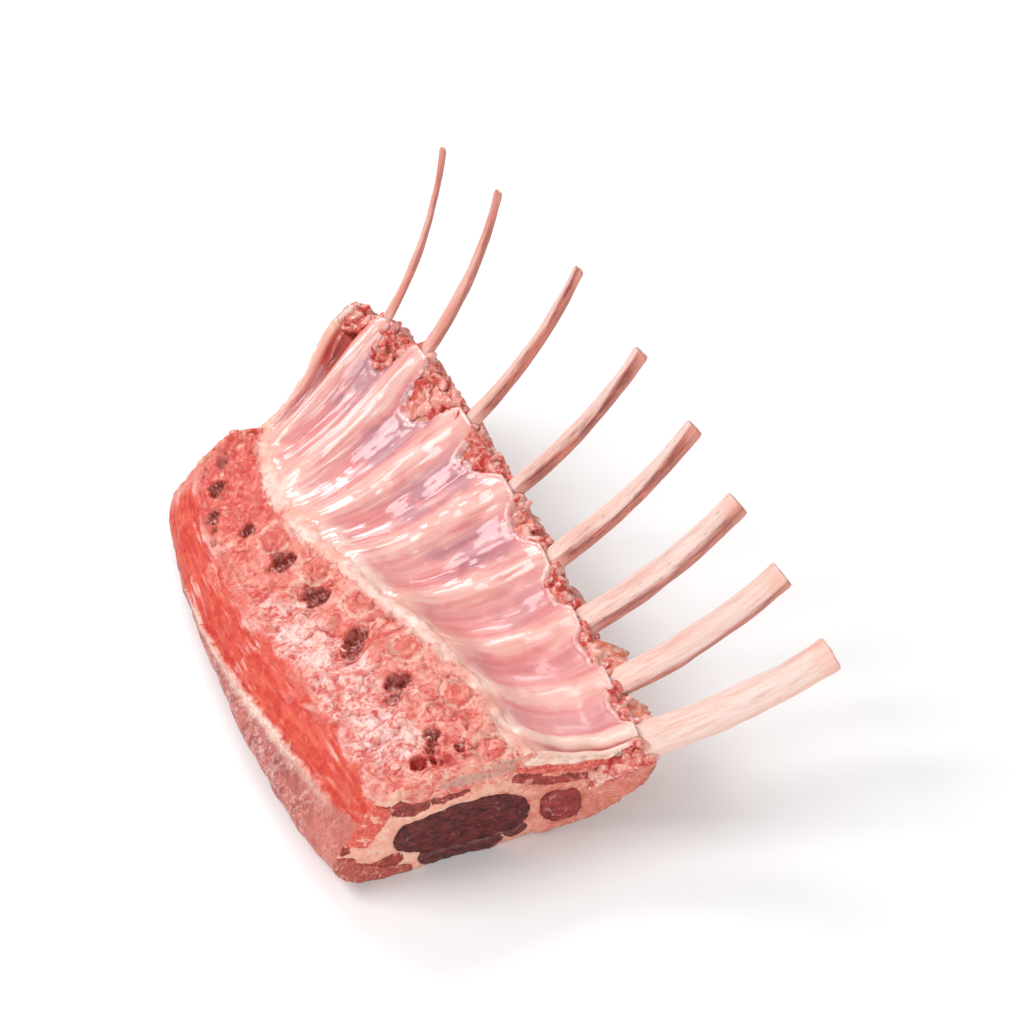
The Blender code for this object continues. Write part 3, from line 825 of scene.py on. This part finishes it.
# %% Meat finish
def meat_cut(f, lumps, grain):
    fray = (lumps - 0.5) * 3.0 + (grain - 0.5) * 2.0
    left_fat = f.mix(lumps.step(0.35, 0.65), (0.88, 0.36, 0.25), (0.92, 0.54, 0.41))
    right_fat = f.mix((lumps * 0.6 + grain * 0.4).step(0.38, 0.62), (0.60, 0.13, 0.085), (0.80, 0.27, 0.19))
    side = f.add("SeparateXYZ", None, {0: f.place}, output=0)
    cut = f.mix(side.step(-0.030, 0.0), left_fat, right_fat)
    cut = f.mix(f.grain(7, detail=4, rough=0.55, bend=1.5).near(0.5, 0.02) * 0.4, cut, (0.96, 0.72, 0.62))
    cut = f.mix(f.grain(9, detail=5, rough=0.65, bend=1.5).step(0.56, 0.66) * 0.5, cut, (0.74, 0.15, 0.10))
    gristle = f.mix(lumps.step(0.3, 0.7), (0.36, 0.19, 0.16), (0.62, 0.38, 0.32))
    cut = f.mix((f.number("grey_oval") + fray * 0.8).step(0.5, -0.9) * 0.8, cut, gristle)
    cream = f.mix(lumps.step(0.4, 0.6), (0.90, 0.52, 0.40), (0.96, 0.76, 0.66))
    cut = f.mix((f.number("cream_oval") + fray * 0.6).step(0.3, -0.6), cut, cream)
    bright = f.mix(grain.step(0.40, 0.64), (0.58, 0.045, 0.035), (0.82, 0.20, 0.15))
    cut = f.mix((f.number("bright_oval") + fray * 0.6).step(0.3, -0.2), cut, bright)
    red = f.mix((grain * 0.6 + lumps * 0.4).step(0.40, 0.62), (0.17, 0.012, 0.010), (0.48, 0.055, 0.038))
    red = f.mix(f.grain(2.2, detail=3, bend=1.0).step(0.60, 0.68) * 0.7, red, (0.84, 0.34, 0.26))
    cut = f.mix((f.number("red_oval") + fray * 0.9).step(0.3, -0.3), cut, red)
    dark = muscle_cut(f, LOIN_DEEP, LOIN_LIGHT, (0.62, 0.34, 0.32))[0]
    return f.mix((f.number("dark_oval") + fray * 0.5).step(0.2, -0.2), cut, dark)


wear(meat, layer_finish("fat_and_flesh", meat_cut))

# %% [markdown]
# ## The skin of the chest
# Inside the chest a thin wet skin covers ribs and muscle. It is pale where it passes over a rib, pink between, violet
# where dark muscle shows through, and it wrinkles along the ribs. It is a fine grid laid on the map, a little above the
# flesh, and sinks into it at its edges; thickness closes it.

# %% Chest skin
SKIN_END, SKIN_THICK = 2.98, 0.4


def square_grid(name, across, along_it):
    """A flat grid with the given numbers of faces, and where its points lie from 0 to 1 each way."""
    bm = bmesh.new()
    bmesh.ops.create_grid(bm, x_segments=across, y_segments=along_it, size=0.5)
    made = new_object(name, bm)
    grid = coordinates(made) * MM + 0.5
    return made, grid[:, 0], grid[:, 1]


def chest_skin():
    made, turn, run = square_grid("chest_skin", 104, 400)
    turn, run = turn * SKIN_END, run * LAST_RUN
    nudge = 1e-3
    points = skin(turn, run) + SHIFT
    across = skin(turn + nudge, run) - skin(turn, run)
    ahead = skin(turn, np.minimum(run + nudge, LAST_RUN)) - skin(turn, np.maximum(run - nudge, 0))
    normal = np.cross(ahead, across)
    normal /= np.linalg.norm(normal, axis=1, keepdims=True)
    folds = np.stack([run * 20, turn * 1.6, 0 * run], 1)
    height = relief(points, turn, run) + (0.06 + 0.1 * smooth_step(run, 2, 6)) * bumps(folds, 1.3, 31, 3)
    edge = membrane_edge(run) + 0.035 * bumps(points, 1.5, 32, 2)
    cover = smooth_step(turn, edge, edge + 0.05) * smooth_step(turn, 2.92, 2.6)
    height += -0.7 + 1.05 * cover + 0.35 * band(turn, edge + 0.08, 0.02, 0.07)
    height -= 0.75 * smooth_step(np.minimum(run, LAST_RUN - run), 0.09, 0.0)
    points = points + normal * height[:, None]
    move_to(made, points)
    store(made, "turn", turn)
    store(made, "run", run)
    store(made, "from_edge", turn - edge)
    thick = made.modifiers.new("thickness", "SOLIDIFY")
    thick.thickness, thick.offset = SKIN_THICK * MM, -1
    apply_modifiers(made)
    return finished(made)


chest = chest_skin()

# %% [markdown]
# The look of the skin follows the ribs under it, so the main pattern is a wave along `run` with its crests on the ribs;
# its noise wanders a little, as no rib is straight. The far half is wetter, shows the dark muscle more, and has
# painted highlights: whitish streaks along the ribs.
# its noise wanders a little, as no rib is straight. The far half is wetter and shows the dark muscle more.

# %% Chest skin finish
FULL_WAVE = 6.28318


def chest_finish():
    f = Finish("chest_skin_wet", **{**WET, "Coat_Roughness": 0.07, "Subsurface_Weight": 0.15})
    turn, run = f.number("turn"), f.number("run")
    folds = f.vector(run * 20.0, turn * 1.3, 0.0)
    wander = (f.grain(6, detail=3) - 0.5) * 0.3
    streaks, thin_streaks = f.grain(4.0, folds, detail=3, rough=0.55), f.grain(1.5, folds, detail=4, rough=0.6)
    wave = (run + wander) * FULL_WAVE
    rib = wave.math("COSINE", wave)
    far_end = run.step(2.0, 6.0)
    colour = f.mix(streaks.step(0.34, 0.66), (0.78, 0.24, 0.24), (0.87, 0.37, 0.345))
    over_rib = f.mix(thin_streaks.step(0.35, 0.65), (0.90, 0.43, 0.38), (0.96, 0.60, 0.51))
    colour = f.mix(rib.step(-0.1, 1.0) * 0.75, colour, over_rib)
    colour = f.mix(rib.step(0.1, -0.9) * run.step(3.6, 1.0) * 0.5, colour, (0.87, 0.44, 0.45))
    colour = f.mix(rib.step(0.0, 0.9) * run.step(2.8, 0.8) * 0.7, colour, (0.98, 0.70, 0.58))
    colour = f.mix(thin_streaks.step(0.50, 0.74) * (far_end * 0.3 + 0.2), colour, (0.95, 0.62, 0.58))
    colour = f.mix(thin_streaks.step(0.46, 0.28) * (far_end * 0.3 + 0.25), colour, (0.66, 0.15, 0.16))
    # Painted highlight: whitish streaks along the ribs over the far half of the skin.
    pale_wash = (streaks * 0.6 + thin_streaks * 0.5).step(0.57, 0.66) * turn.near(1.7, 1.1).step(0.0, 0.5)
    colour = f.mix(pale_wash * run.step(4.6, 6.0) * 0.8, colour, (0.98, 0.84, 0.82))
    dusk = f.grain(10, detail=4, rough=0.55)
    violet = rib.step(0.5, -0.5) * turn.near(1.0, 1.0).step(0.0, 0.6) * dusk.step(0.36, 0.50)
    dark_muscle = f.mix(streaks.step(0.3, 0.6), (0.34, 0.125, 0.165), (0.57, 0.26, 0.305))
    colour = f.mix(violet * (far_end * 0.75 + 0.25) * 0.85, colour, dark_muscle)
    ridge = (turn + (f.grain(4, detail=4) - 0.5) * 0.9).step(2.3, 2.8)
    ridge_fat = f.mix(f.grain(11, detail=3).step(0.46, 0.58), (0.97, 0.70, 0.61), (0.91, 0.46, 0.38))
    colour = f.mix(ridge * 0.8, colour, ridge_fat)
    edge = f.number("from_edge") + (f.grain(1.6, detail=3) - 0.5) * 0.2
    colour = f.mix(edge.step(0.16, 0.02) * f.grain(2.5, detail=3).step(0.4, 0.6) * 0.8, colour, (0.95, 0.72, 0.66))
    frayed = (f.grain(3.0, detail=4, rough=0.6) - 0.5) * 0.5
    pocket = (turn.near(0.9, 0.9) + frayed).step(0.05, 0.35) * (run.near(8.52, 0.5) + frayed).step(0.05, 0.35)
    bare_flesh = f.mix(streaks.step(0.4, 0.6), (0.62, 0.06, 0.045), (0.84, 0.20, 0.14))
    colour = f.mix(pocket * 0.9, colour, bare_flesh)
    colour = f.mix((run + frayed * 0.2).step(8.78, 8.9) * turn.step(2.4, 1.6), colour, (0.93, 0.47, 0.36))
    height = streaks * 0.5 + thin_streaks * 0.35 + f.grain(0.9, detail=2) * 0.1
    return f.feed(Base_Color=colour, Roughness=streaks * 0.2 + 0.22, Coat_Weight=run.step(1.5, 5.5) * 0.6 + 0.15,
                  Normal=f.bump(height, 0.25))


wear(chest, chest_finish())

# %% [markdown]
# ## Bared ribs
# A scraped rib is a flattened, slightly bowed bone: cream, with a fine lengthwise grain, small dark pores, red shreds
# and painted shade along its underside, and a sawn end with a hard rim and soft red marrow. A tube of rings is
# extruded from a circle, its end is inset for rim and marrow, and each ring is then moved onto the rib's own line.

# %% Rib numbers and lines
Rib = namedtuple("Rib", "rise length lean wide thick tip_wide tip_thick")  # degrees, then mm
RIBS = [
    Rib(24, 60, -8, 12.0, 7.0, 10.5, 7.0), Rib(33, 60, -4, 10.0, 6.0, 9.0, 5.5), Rib(37, 60, -2, 10.0, 6.0, 8.5, 5.5),
    Rib(42, 61, 0, 8.5, 4.8, 6.5, 4.2), Rib(46, 60, 1, 7.0, 4.2, 5.5, 3.6), Rib(55, 62, 1, 6.0, 3.8, 4.0, 2.8),
    Rib(63, 60, 6, 5.2, 3.2, 3.2, 2.2), Rib(67, 60, 10, 3.6, 2.4, 2.4, 1.8),
]
SEAT = 15.0  # mm of each rib inside the meat
BOW = 14  # four times how far (mm) a rib's middle bows below a straight line


def rib_line(number, share):
    """Centre (mm) of a rib at shares of its bared length, 0 to 1; below 0 it runs on inside the meat."""
    rib = RIBS[number]
    rise = math.radians(rib.rise)
    u = np.array([number + 1.0])
    edge, inner = (np.array(along(SECTIONS[name], STATIONS, u)[0]) for name in ("rib_edge", "hollow_outer"))
    edge = np.array([edge[0], cut_y(edge[0], u)[0], edge[1]])
    inner = np.array([inner[0], cut_y(inner[0], u)[0], inner[1]])
    start = edge - np.array([1.0, 0, rib.thick / 2 + 0.5])
    inward = (inner - edge) / np.linalg.norm(inner - edge)
    share = np.asarray(share, float)[:, None]
    out = np.clip(share, 0, 1)
    into = np.clip(-share, 0, 1)
    bared = (np.array([math.cos(rise), 0, math.sin(rise)]) * rib.length * out
             + np.array([math.sin(rise), 0, -math.cos(rise)]) * BOW * out * (1 - out)
             + np.array([0, rib.lean, 0]) * out)
    return start + bared + (inward * SEAT - np.array([0, 0, 1.5])) * into + SHIFT


print("ribs:", len(RIBS), "lengths:", [rib.length for rib in RIBS], "mm")

# %% Rib bones
RINGS, SIDES, END_INSETS = 150, 44, 5


def straight_rod(name):
    """A closed rod of radius 1 and height 1, with rings to bend it by and inset rings on its ends."""
    bm = bmesh.new()
    bmesh.ops.create_circle(bm, segments=SIDES, radius=1.0)
    edges = bm.edges[:]
    for _ in range(RINGS):
        grown = bmesh.ops.extrude_edge_only(bm, edges=edges)["geom"]
        ring = [part for part in grown if isinstance(part, bmesh.types.BMVert)]
        bmesh.ops.translate(bm, verts=ring, vec=(0, 0, 1 / RINGS))
        edges = [part for part in grown if isinstance(part, bmesh.types.BMEdge)]
    for at in (0.0, 1.0):
        loop = [e for e in bm.edges if e.is_boundary and all(abs(v.co.z - at) < 1e-4 for v in e.verts)]
        cap = bmesh.ops.contextual_create(bm, geom=loop)["faces"]
        for _ in range(END_INSETS):
            bmesh.ops.inset_region(bm, faces=cap, thickness=0.17)
        bmesh.ops.poke(bm, faces=cap)
    bmesh.ops.recalc_face_normals(bm, faces=bm.faces)
    return new_object(name, bm)


def rib_bone(number):
    """Bend the rod along the rib's line and roughen it."""
    rib = RIBS[number]
    length = rib.length
    made = straight_rod(f"rib_{number + 1}_bone")
    unit = coordinates(made) * MM
    reach = SEAT / (length + SEAT)
    share = np.where(unit[:, 2] < reach, unit[:, 2] / reach - 1, (unit[:, 2] - reach) / (1 - reach))
    centre = rib_line(number, share)
    ahead = rib_line(number, np.minimum(share + 0.01, 1)) - rib_line(number, np.maximum(share - 0.01, -1))
    ahead /= np.linalg.norm(ahead, axis=1, keepdims=True)
    side = np.array([0, 1.0, 0]) - ahead * ahead[:, 1:2]
    side /= np.linalg.norm(side, axis=1, keepdims=True)
    over = np.cross(ahead, side)
    out = np.clip(share, 0, 1)
    flare = 1 + 0.07 * smooth_step(out, 0.9, 1.0)
    half_wide = (rib.wide + (rib.tip_wide - rib.wide) * out) / 2 * flare * np.where(share < 0, 1 + 0.12 * share, 1)
    half_thick = (rib.thick + (rib.tip_thick - rib.thick) * out) / 2 * flare
    radius = np.hypot(unit[:, 0], unit[:, 1])
    round_x, round_y = unit[:, 0] / np.maximum(radius, 1e-6), unit[:, 1] / np.maximum(radius, 1e-6)
    mm_along = np.where(share < 0, share * SEAT, share * length)
    surface = np.stack([unit[:, 0] * half_wide, unit[:, 1] * half_thick, mm_along], 1)
    lengthwise = surface * np.array([1, 1, 0.12])
    size = math.sqrt(rib.wide / 10)
    bump_height = size * (0.28 * bumps(surface * np.array([1, 1, 0.5]), 7, 40 + number, 2)
                          + 0.22 * bumps(lengthwise, 1.6, 50 + number, 3)
                          + 0.25 * smooth_step(mm_along, 7, 0) * bumps(surface, 1.8, 60 + number, 3))
    bump_height *= smooth_step(radius, 0.5, 0.98)
    end = smooth_step(mm_along, length - 0.8, length - 0.05)
    bump_height -= 0.35 * end * smooth_step(radius, 0.9, 1.0)
    marrow = end * smooth_step(radius, 0.72, 0.5)
    cap_height = (-marrow * (0.35 + 0.3 * bumps(surface, 1.0, 70 + number, 2))
                  + 0.12 * end * bumps(surface, 1.2, 80 + number, 2))
    cap_height += smooth_step(mm_along, length - 3, length) * (0.3 * surface[:, 1] - 0.18 * surface[:, 0])
    points = (centre + side * (surface[:, :1] + (round_x * bump_height)[:, None])
              + over * (surface[:, 1:2] + (round_y * bump_height)[:, None]) + ahead * cap_height[:, None])
    move_to(made, points)
    where = made.data.attributes.new("bone_place", "FLOAT_VECTOR", "POINT")
    where.data.foreach_set("vector", surface.astype(np.float32).ravel())
    store(made, "tip", length - mm_along)
    store(made, "rim", radius)
    # `under` is high on top and low on the underside and on the side towards the near cut, where the finish paints red
    # shreds and painted shade.
    store(made, "under", over[:, 2] * round_y + 0.45 * round_x)
    return finished(made, f"rib_{number + 1}")


ribs = [rib_bone(number) for number in range(len(RIBS))]

# %% [markdown]
# Scraping leaves the ribs unlike each other: those in the middle of the rack have dark pores, and stains with painted
# shade along the underside, the far, thin ones are pinker, and the first is clean. Three numbers per rib steer one
# finish.

# %% Bone finish
PORES = [0.1, 0.25, 0.9, 1.0, 1.0, 0.5, 0.2, 0.15]
PINKER = [0.1, 0.2, 0.15, 0.15, 0.15, 0.35, 0.85, 0.95]
# How far red shreds and painted shade reach round each rib's underside.
STAINED_AND_SHADED = [-0.6, 0.25, 0.55, 0.8, 0.85, 0.75, 0.35, 0.25]


def bone_finish(number):
    pores, pinker, stained_and_shaded = PORES[number], PINKER[number], STAINED_AND_SHADED[number]
    dry = {**WET, "Coat_Weight": 0.1, "Coat_Roughness": 0.25, "Subsurface_Weight": 0.1}
    f = Finish(f"scraped_bone_{number + 1}", **dry)
    place = f.add("Attribute", {"attribute_name": "bone_place"}, output="Vector")
    tip, rim, under = f.number("tip"), f.number("rim"), f.number("under")
    lengthwise = f.scaled(place, 1.0, 1.0, 0.10)
    grain, long_patch = f.grain(0.8, lengthwise, detail=4, rough=0.65), f.grain(3.5, lengthwise, detail=3)
    colour = f.mix(long_patch.step(0.36, 0.64), (0.88, 0.68, 0.61), (0.84, 0.48, 0.39))
    colour = f.mix(grain.step(0.44, 0.60) * 0.55, colour, (0.93, 0.80, 0.74))
    colour = f.mix(grain.step(0.42, 0.34) * 0.5, colour, (0.72, 0.40, 0.33))
    colour = f.mix(f.grain(9.0, lengthwise, detail=3).step(0.55, 0.68) * 0.4 * pores, colour, (0.66, 0.55, 0.53))
    colour = f.mix(pinker, colour, f.mix(long_patch.step(0.35, 0.6), (0.70, 0.22, 0.155), (0.86, 0.47, 0.39)))
    dashes = f.grain(0.7, f.scaled(place, 1.0, 1.0, 0.25), detail=2).step(0.62, 0.68)
    dashes = dashes * f.grain(6.0, place).step(0.42, 0.60)
    colour = f.mix(dashes * 0.7 * pores, colour, (0.25, 0.17, 0.18))
    veil = f.grain(5.0, lengthwise, detail=3).step(0.5, 0.68) * pores
    colour = f.mix(veil * 0.35, colour, (0.55, 0.38, 0.38))
    # Red shreds along the underside, which is also darkened there as painted shade.
    shreds_and_shade = (under * -1.0 + (f.grain(3.0, lengthwise, detail=4, rough=0.6) - 0.5) * 1.5 + stained_and_shaded).step(0.1, 0.55)
    shred_and_shade_red = f.mix(grain.step(0.4, 0.62), (0.20, 0.025, 0.018), (0.60, 0.14, 0.09))
    colour = f.mix(shreds_and_shade * 0.92, colour, shred_and_shade_red)
    # Painted shade: the underside is painted a darker, warmer peach.
    colour = f.mix((under * -1.0).step(-0.2, 0.5) * 0.35, colour, (0.80, 0.42, 0.34))
    colour = f.mix(tip.step(7.0, 1.0) * long_patch.step(0.3, 0.6) * 0.6, colour, (0.86, 0.40, 0.30))
    colour = f.mix(tip.step(50.0, 60.0) * 0.6, colour, (0.93, 0.62, 0.52))
    at_end = tip.step(0.5, 0.15)
    marrow = f.mix(f.grain(1.0, place, detail=3).step(0.35, 0.65), (0.84, 0.44, 0.34), (0.94, 0.66, 0.55))
    colour = f.mix(at_end * rim.step(0.82, 0.66), colour, marrow)
    normal = f.bump(grain * 0.6 + f.grain(0.35, lengthwise, detail=2) * 0.3, 0.25)
    return f.feed(Base_Color=colour, Roughness=grain * 0.25 + 0.35, Normal=normal)


for number, bone in enumerate(ribs):
    wear(bone, bone_finish(number))

# %% [markdown]
# ## Scraps round the ribs
# Scraping the ribs bare leaves shreds of red muscle and white skin bunched up at their feet and all along the edge.
# Many small seeded balls are set round each rib's foot and along the edge, more on the side of the next cut, and a
# remesh melts each group into one closed clump, which noise makes ragged.

# %% Melted clumps
ALL_ROUND = 6.28
SCRAP_FACE = 0.42


def melted(name, balls, seed):
    """One ragged clump from balls (place in mm, radius in mm, three stretches)."""
    bm = bmesh.new()
    for place, radius, stretch in balls:
        turned = Euler(rng.uniform(0, ALL_ROUND, 3)).to_matrix().to_4x4()
        matrix = Matrix.Translation(np.asarray(place) * MM) @ turned @ Matrix.Diagonal((*stretch, 1))
        bmesh.ops.create_icosphere(bm, subdivisions=2, radius=radius * MM, matrix=matrix)
    made = remeshed(name, bm, SCRAP_FACE)
    points = coordinates(made)
    rough = 0.45 * bumps(points, 3.4, seed, 2)
    points = points + outward(made) * rough[:, None]
    points[:, 2] = np.maximum(points[:, 2], 0.05)
    move_to(made, points)
    store(made, "lift", rough)
    return finished(made)

# %% [markdown]
# Over the top of a foot the skin runs out onto the bone, so that side is left free. The scraps are thickest on the near
# side of each foot and underneath.

# %% Where the scraps lie
FOOT_BALLS, FOOT_LUMPS, EDGE_BALLS, CORNER_BALLS = 46, 5, 340, 110
RUN_WIDTH = 52  # a rib's width (mm) over this is the part of `run` on either side that its foot takes up


def round_foot(number, reach, angle, half_wide, half_thick):
    """Place (mm) beside a rib, `reach` mm out from its foot: angle 0 is its far side, a quarter turn its top."""
    rib = RIBS[number]
    centre = rib_line(number, [reach / rib.length if reach > 0 else reach / SEAT])[0]
    return (centre + np.array([0, math.cos(angle) * half_wide, 0])
            + np.array([-0.5, 0, 0.86]) * math.sin(angle) * half_thick)


def foot_balls(number):
    """Small balls round a rib's foot and some bigger lumps on its near side."""
    rib = RIBS[number]
    balls, size = [], math.sqrt(rib.wide / 9)
    for _ in range(FOOT_BALLS):
        angle = rng.uniform(0, 2 * math.pi)
        toward_near, below = 0.5 - 0.5 * math.cos(angle), 0.5 - 0.5 * math.sin(angle)
        reach = rng.uniform(-2.5, 0.5 + 4.0 * toward_near * rng.random() + 2.0 * below * rng.random())
        out = rng.uniform(-0.4, 1.6) * toward_near
        place = round_foot(number, reach, angle, rib.wide / 2 + out, rib.thick / 2 - 0.1)
        ball = (place, rng.uniform(0.8, 1.5) * size, (rng.uniform(0.5, 0.8), 1, rng.uniform(1.3, 2.0)))
        if math.sin(angle) < 0.25 or math.cos(angle) < -0.75:
            balls.append(ball)
    for _ in range(FOOT_LUMPS):
        angle = rng.normal(math.pi, 0.5)
        centre = rib_line(number, [rng.uniform(-1.5, 1.0) / SEAT])[0]
        place = (centre + np.array([0, math.cos(angle) * rib.wide / 2, 0])
                 + np.array([-0.5, 0, 0.86]) * math.sin(angle) * rib.thick / 2)
        balls.append((place, rng.uniform(1.6, 2.3) * size, (rng.uniform(0.6, 0.9), 1, rng.uniform(1.0, 1.5))))
    return balls


def edge_balls(low, high):
    """Balls along the scraped edge between two places on the map, none on top of a rib."""
    balls = []
    for _ in range(EDGE_BALLS):
        run = rng.uniform(low, high)
        turn = rng.uniform(-0.24, 0.04 + 0.9 * max(membrane_edge(run), 0))
        place = skin(turn % AROUND, run) + SHIFT + np.array([rng.uniform(-0.6, 0.5), 0, rng.uniform(-1.0, 0.2)])
        ball = (place, rng.uniform(0.8, 1.8), (rng.uniform(0.5, 0.8), rng.uniform(0.8, 1.1), rng.uniform(1.3, 2.6)))
        nearest = min(max(round(run), 1), len(RIBS))
        if abs(run - nearest) > RIBS[nearest - 1].wide / RUN_WIDTH:
            balls.append(ball)
    return balls


def corner_balls():
    """Balls over the near side of the first rib, where it would lie bare on the cut."""
    balls = []
    for _ in range(CORNER_BALLS):
        centre = rib_line(0, [rng.uniform(-1.0, 0.03)])[0]
        place = centre + np.array([0, -RIBS[0].wide / 2 + rng.uniform(-0.5, 1.0), rng.uniform(-3.2, 2.4)])
        balls.append((place, rng.uniform(0.9, 1.9), (rng.uniform(1.0, 1.8), 0.7, rng.uniform(0.5, 0.9))))
    return balls

# %% Scraps
def scrap_finish():
    f = Finish("wet_scraps", **{**WET, "Coat_Weight": 0.6, "Coat_Roughness": 0.06, "Subsurface_Weight": 0.2})
    lift = f.number("lift")
    lumps, grain = f.grain(2.6, detail=4, rough=0.6, bend=0.8), f.grain(0.9, detail=4, rough=0.65)
    colour = f.mix(lumps.step(0.42, 0.58), (0.58, 0.04, 0.03), (0.84, 0.22, 0.165))
    # Pink and white patches of tissue, painted more on the raised bumps (high lift) as painted highlight, leaving the
    # hollows redder as painted shade.
    colour = f.mix((f.grain(5, detail=3) + lift * 0.1).step(0.49, 0.60) * 0.8, colour, (0.92, 0.46, 0.38))
    colour = f.mix((grain * 0.6 + lumps * 0.4 + lift * 0.15).step(0.54, 0.62) * 0.75, colour, (0.98, 0.76, 0.70))
    return f.feed(Base_Color=colour, Roughness=grain * 0.3 + 0.18, Normal=f.bump(grain + lumps * 0.4, 0.4))


wet_scraps = scrap_finish()
feet = [ball for number in range(len(RIBS)) for ball in foot_balls(number)]
wear(melted("rib_foot_scraps", feet, 41), wet_scraps)
wear(melted("edge_scraps", edge_balls(0.15, 8.9), 42), wet_scraps)
wear(melted("near_corner_scraps", corner_balls(), 43), wet_scraps)

# %% [markdown]
# ## Loose tongues of fat
# Between the ribs, tongues of fat and lean hang loose over the edge where the strip between two bones was pulled out.
# Each is a small grid bent outwards and down, thinner and more ragged towards its free end, and given thickness.

# %% Tongues
# Each tongue: middle and half width in `run`, length (mm), rise (degrees)
TONGUES = [(1.42, 0.38, 10.5, -18), (2.4, 0.34, 12.0, -6), (3.45, 0.36, 9.0, -16),
           (4.5, 0.34, 7.5, 0), (5.5, 0.36, 6.0, 10), (6.45, 0.3, 5.0, 10)]
TONGUE_THICK, TONGUE_ROOT = 1.3, 0.05


def tongue(number, middle, half, length, rise):
    made, across, out = square_grid(f"fat_tongue_{number + 1}", 30, 34)
    across = across * 2 - 1
    narrow = 1 - 0.28 * out**2
    root = skin(TONGUE_ROOT, middle + across * half * narrow) + SHIFT
    rise = math.radians(rise)
    ragged = 1 + 0.16 * bumps(np.stack([across * 3.5, 0 * across, 0 * across], 1), 1.0, 90 + number, 2)
    reach = (out * length * ragged - 1.0) * (1 - 0.35 * across**4)
    curl = 1.8 * np.sin(out * 2.4 + number)
    height = reach * math.sin(rise) + curl - 2.4 - 0.5 * across**2
    points = root + np.stack([reach * math.cos(rise), 0 * reach, height], 1)
    wrinkle = np.stack([points[:, 0] * 0.6, points[:, 1], points[:, 2]], 1)
    points[:, 2] += 0.7 * bumps(wrinkle, 3.0, 95 + number, 3)
    points[:, 0] += 0.4 * bumps(wrinkle, 2.5, 99 + number, 2)
    move_to(made, points)
    thick = made.modifiers.new("thickness", "SOLIDIFY")
    thick.thickness, thick.offset = TONGUE_THICK * MM, 0
    rounded = made.modifiers.new("rounded", "SUBSURF")
    rounded.levels = rounded.render_levels = 1
    apply_modifiers(made)
    return finished(made)


def tongue_finish():
    f = Finish("fat_tongue", **{**WET, "Coat_Weight": 0.3, "Coat_Roughness": 0.08, "Subsurface_Weight": 0.3})
    lumps, grain = f.grain(3.5, detail=4, rough=0.6, bend=0.6), f.grain(1.0, detail=3)
    colour = f.mix(lumps.step(0.36, 0.62), (0.86, 0.22, 0.13), (0.92, 0.38, 0.27))
    colour = f.mix((grain + lumps * 0.6).step(0.80, 0.96) * 0.8, colour, (0.98, 0.72, 0.62))
    colour = f.mix(f.grain(4.5, detail=3).step(0.56, 0.64) * 0.8, colour, (0.72, 0.08, 0.055))
    return f.feed(Base_Color=colour, Roughness=grain * 0.25 + 0.2, Normal=f.bump(lumps * 0.6 + grain * 0.4, 0.4))


fat_tongue = tongue_finish()
for number, values in enumerate(TONGUES):
    wear(tongue(number, *values), fat_tongue)
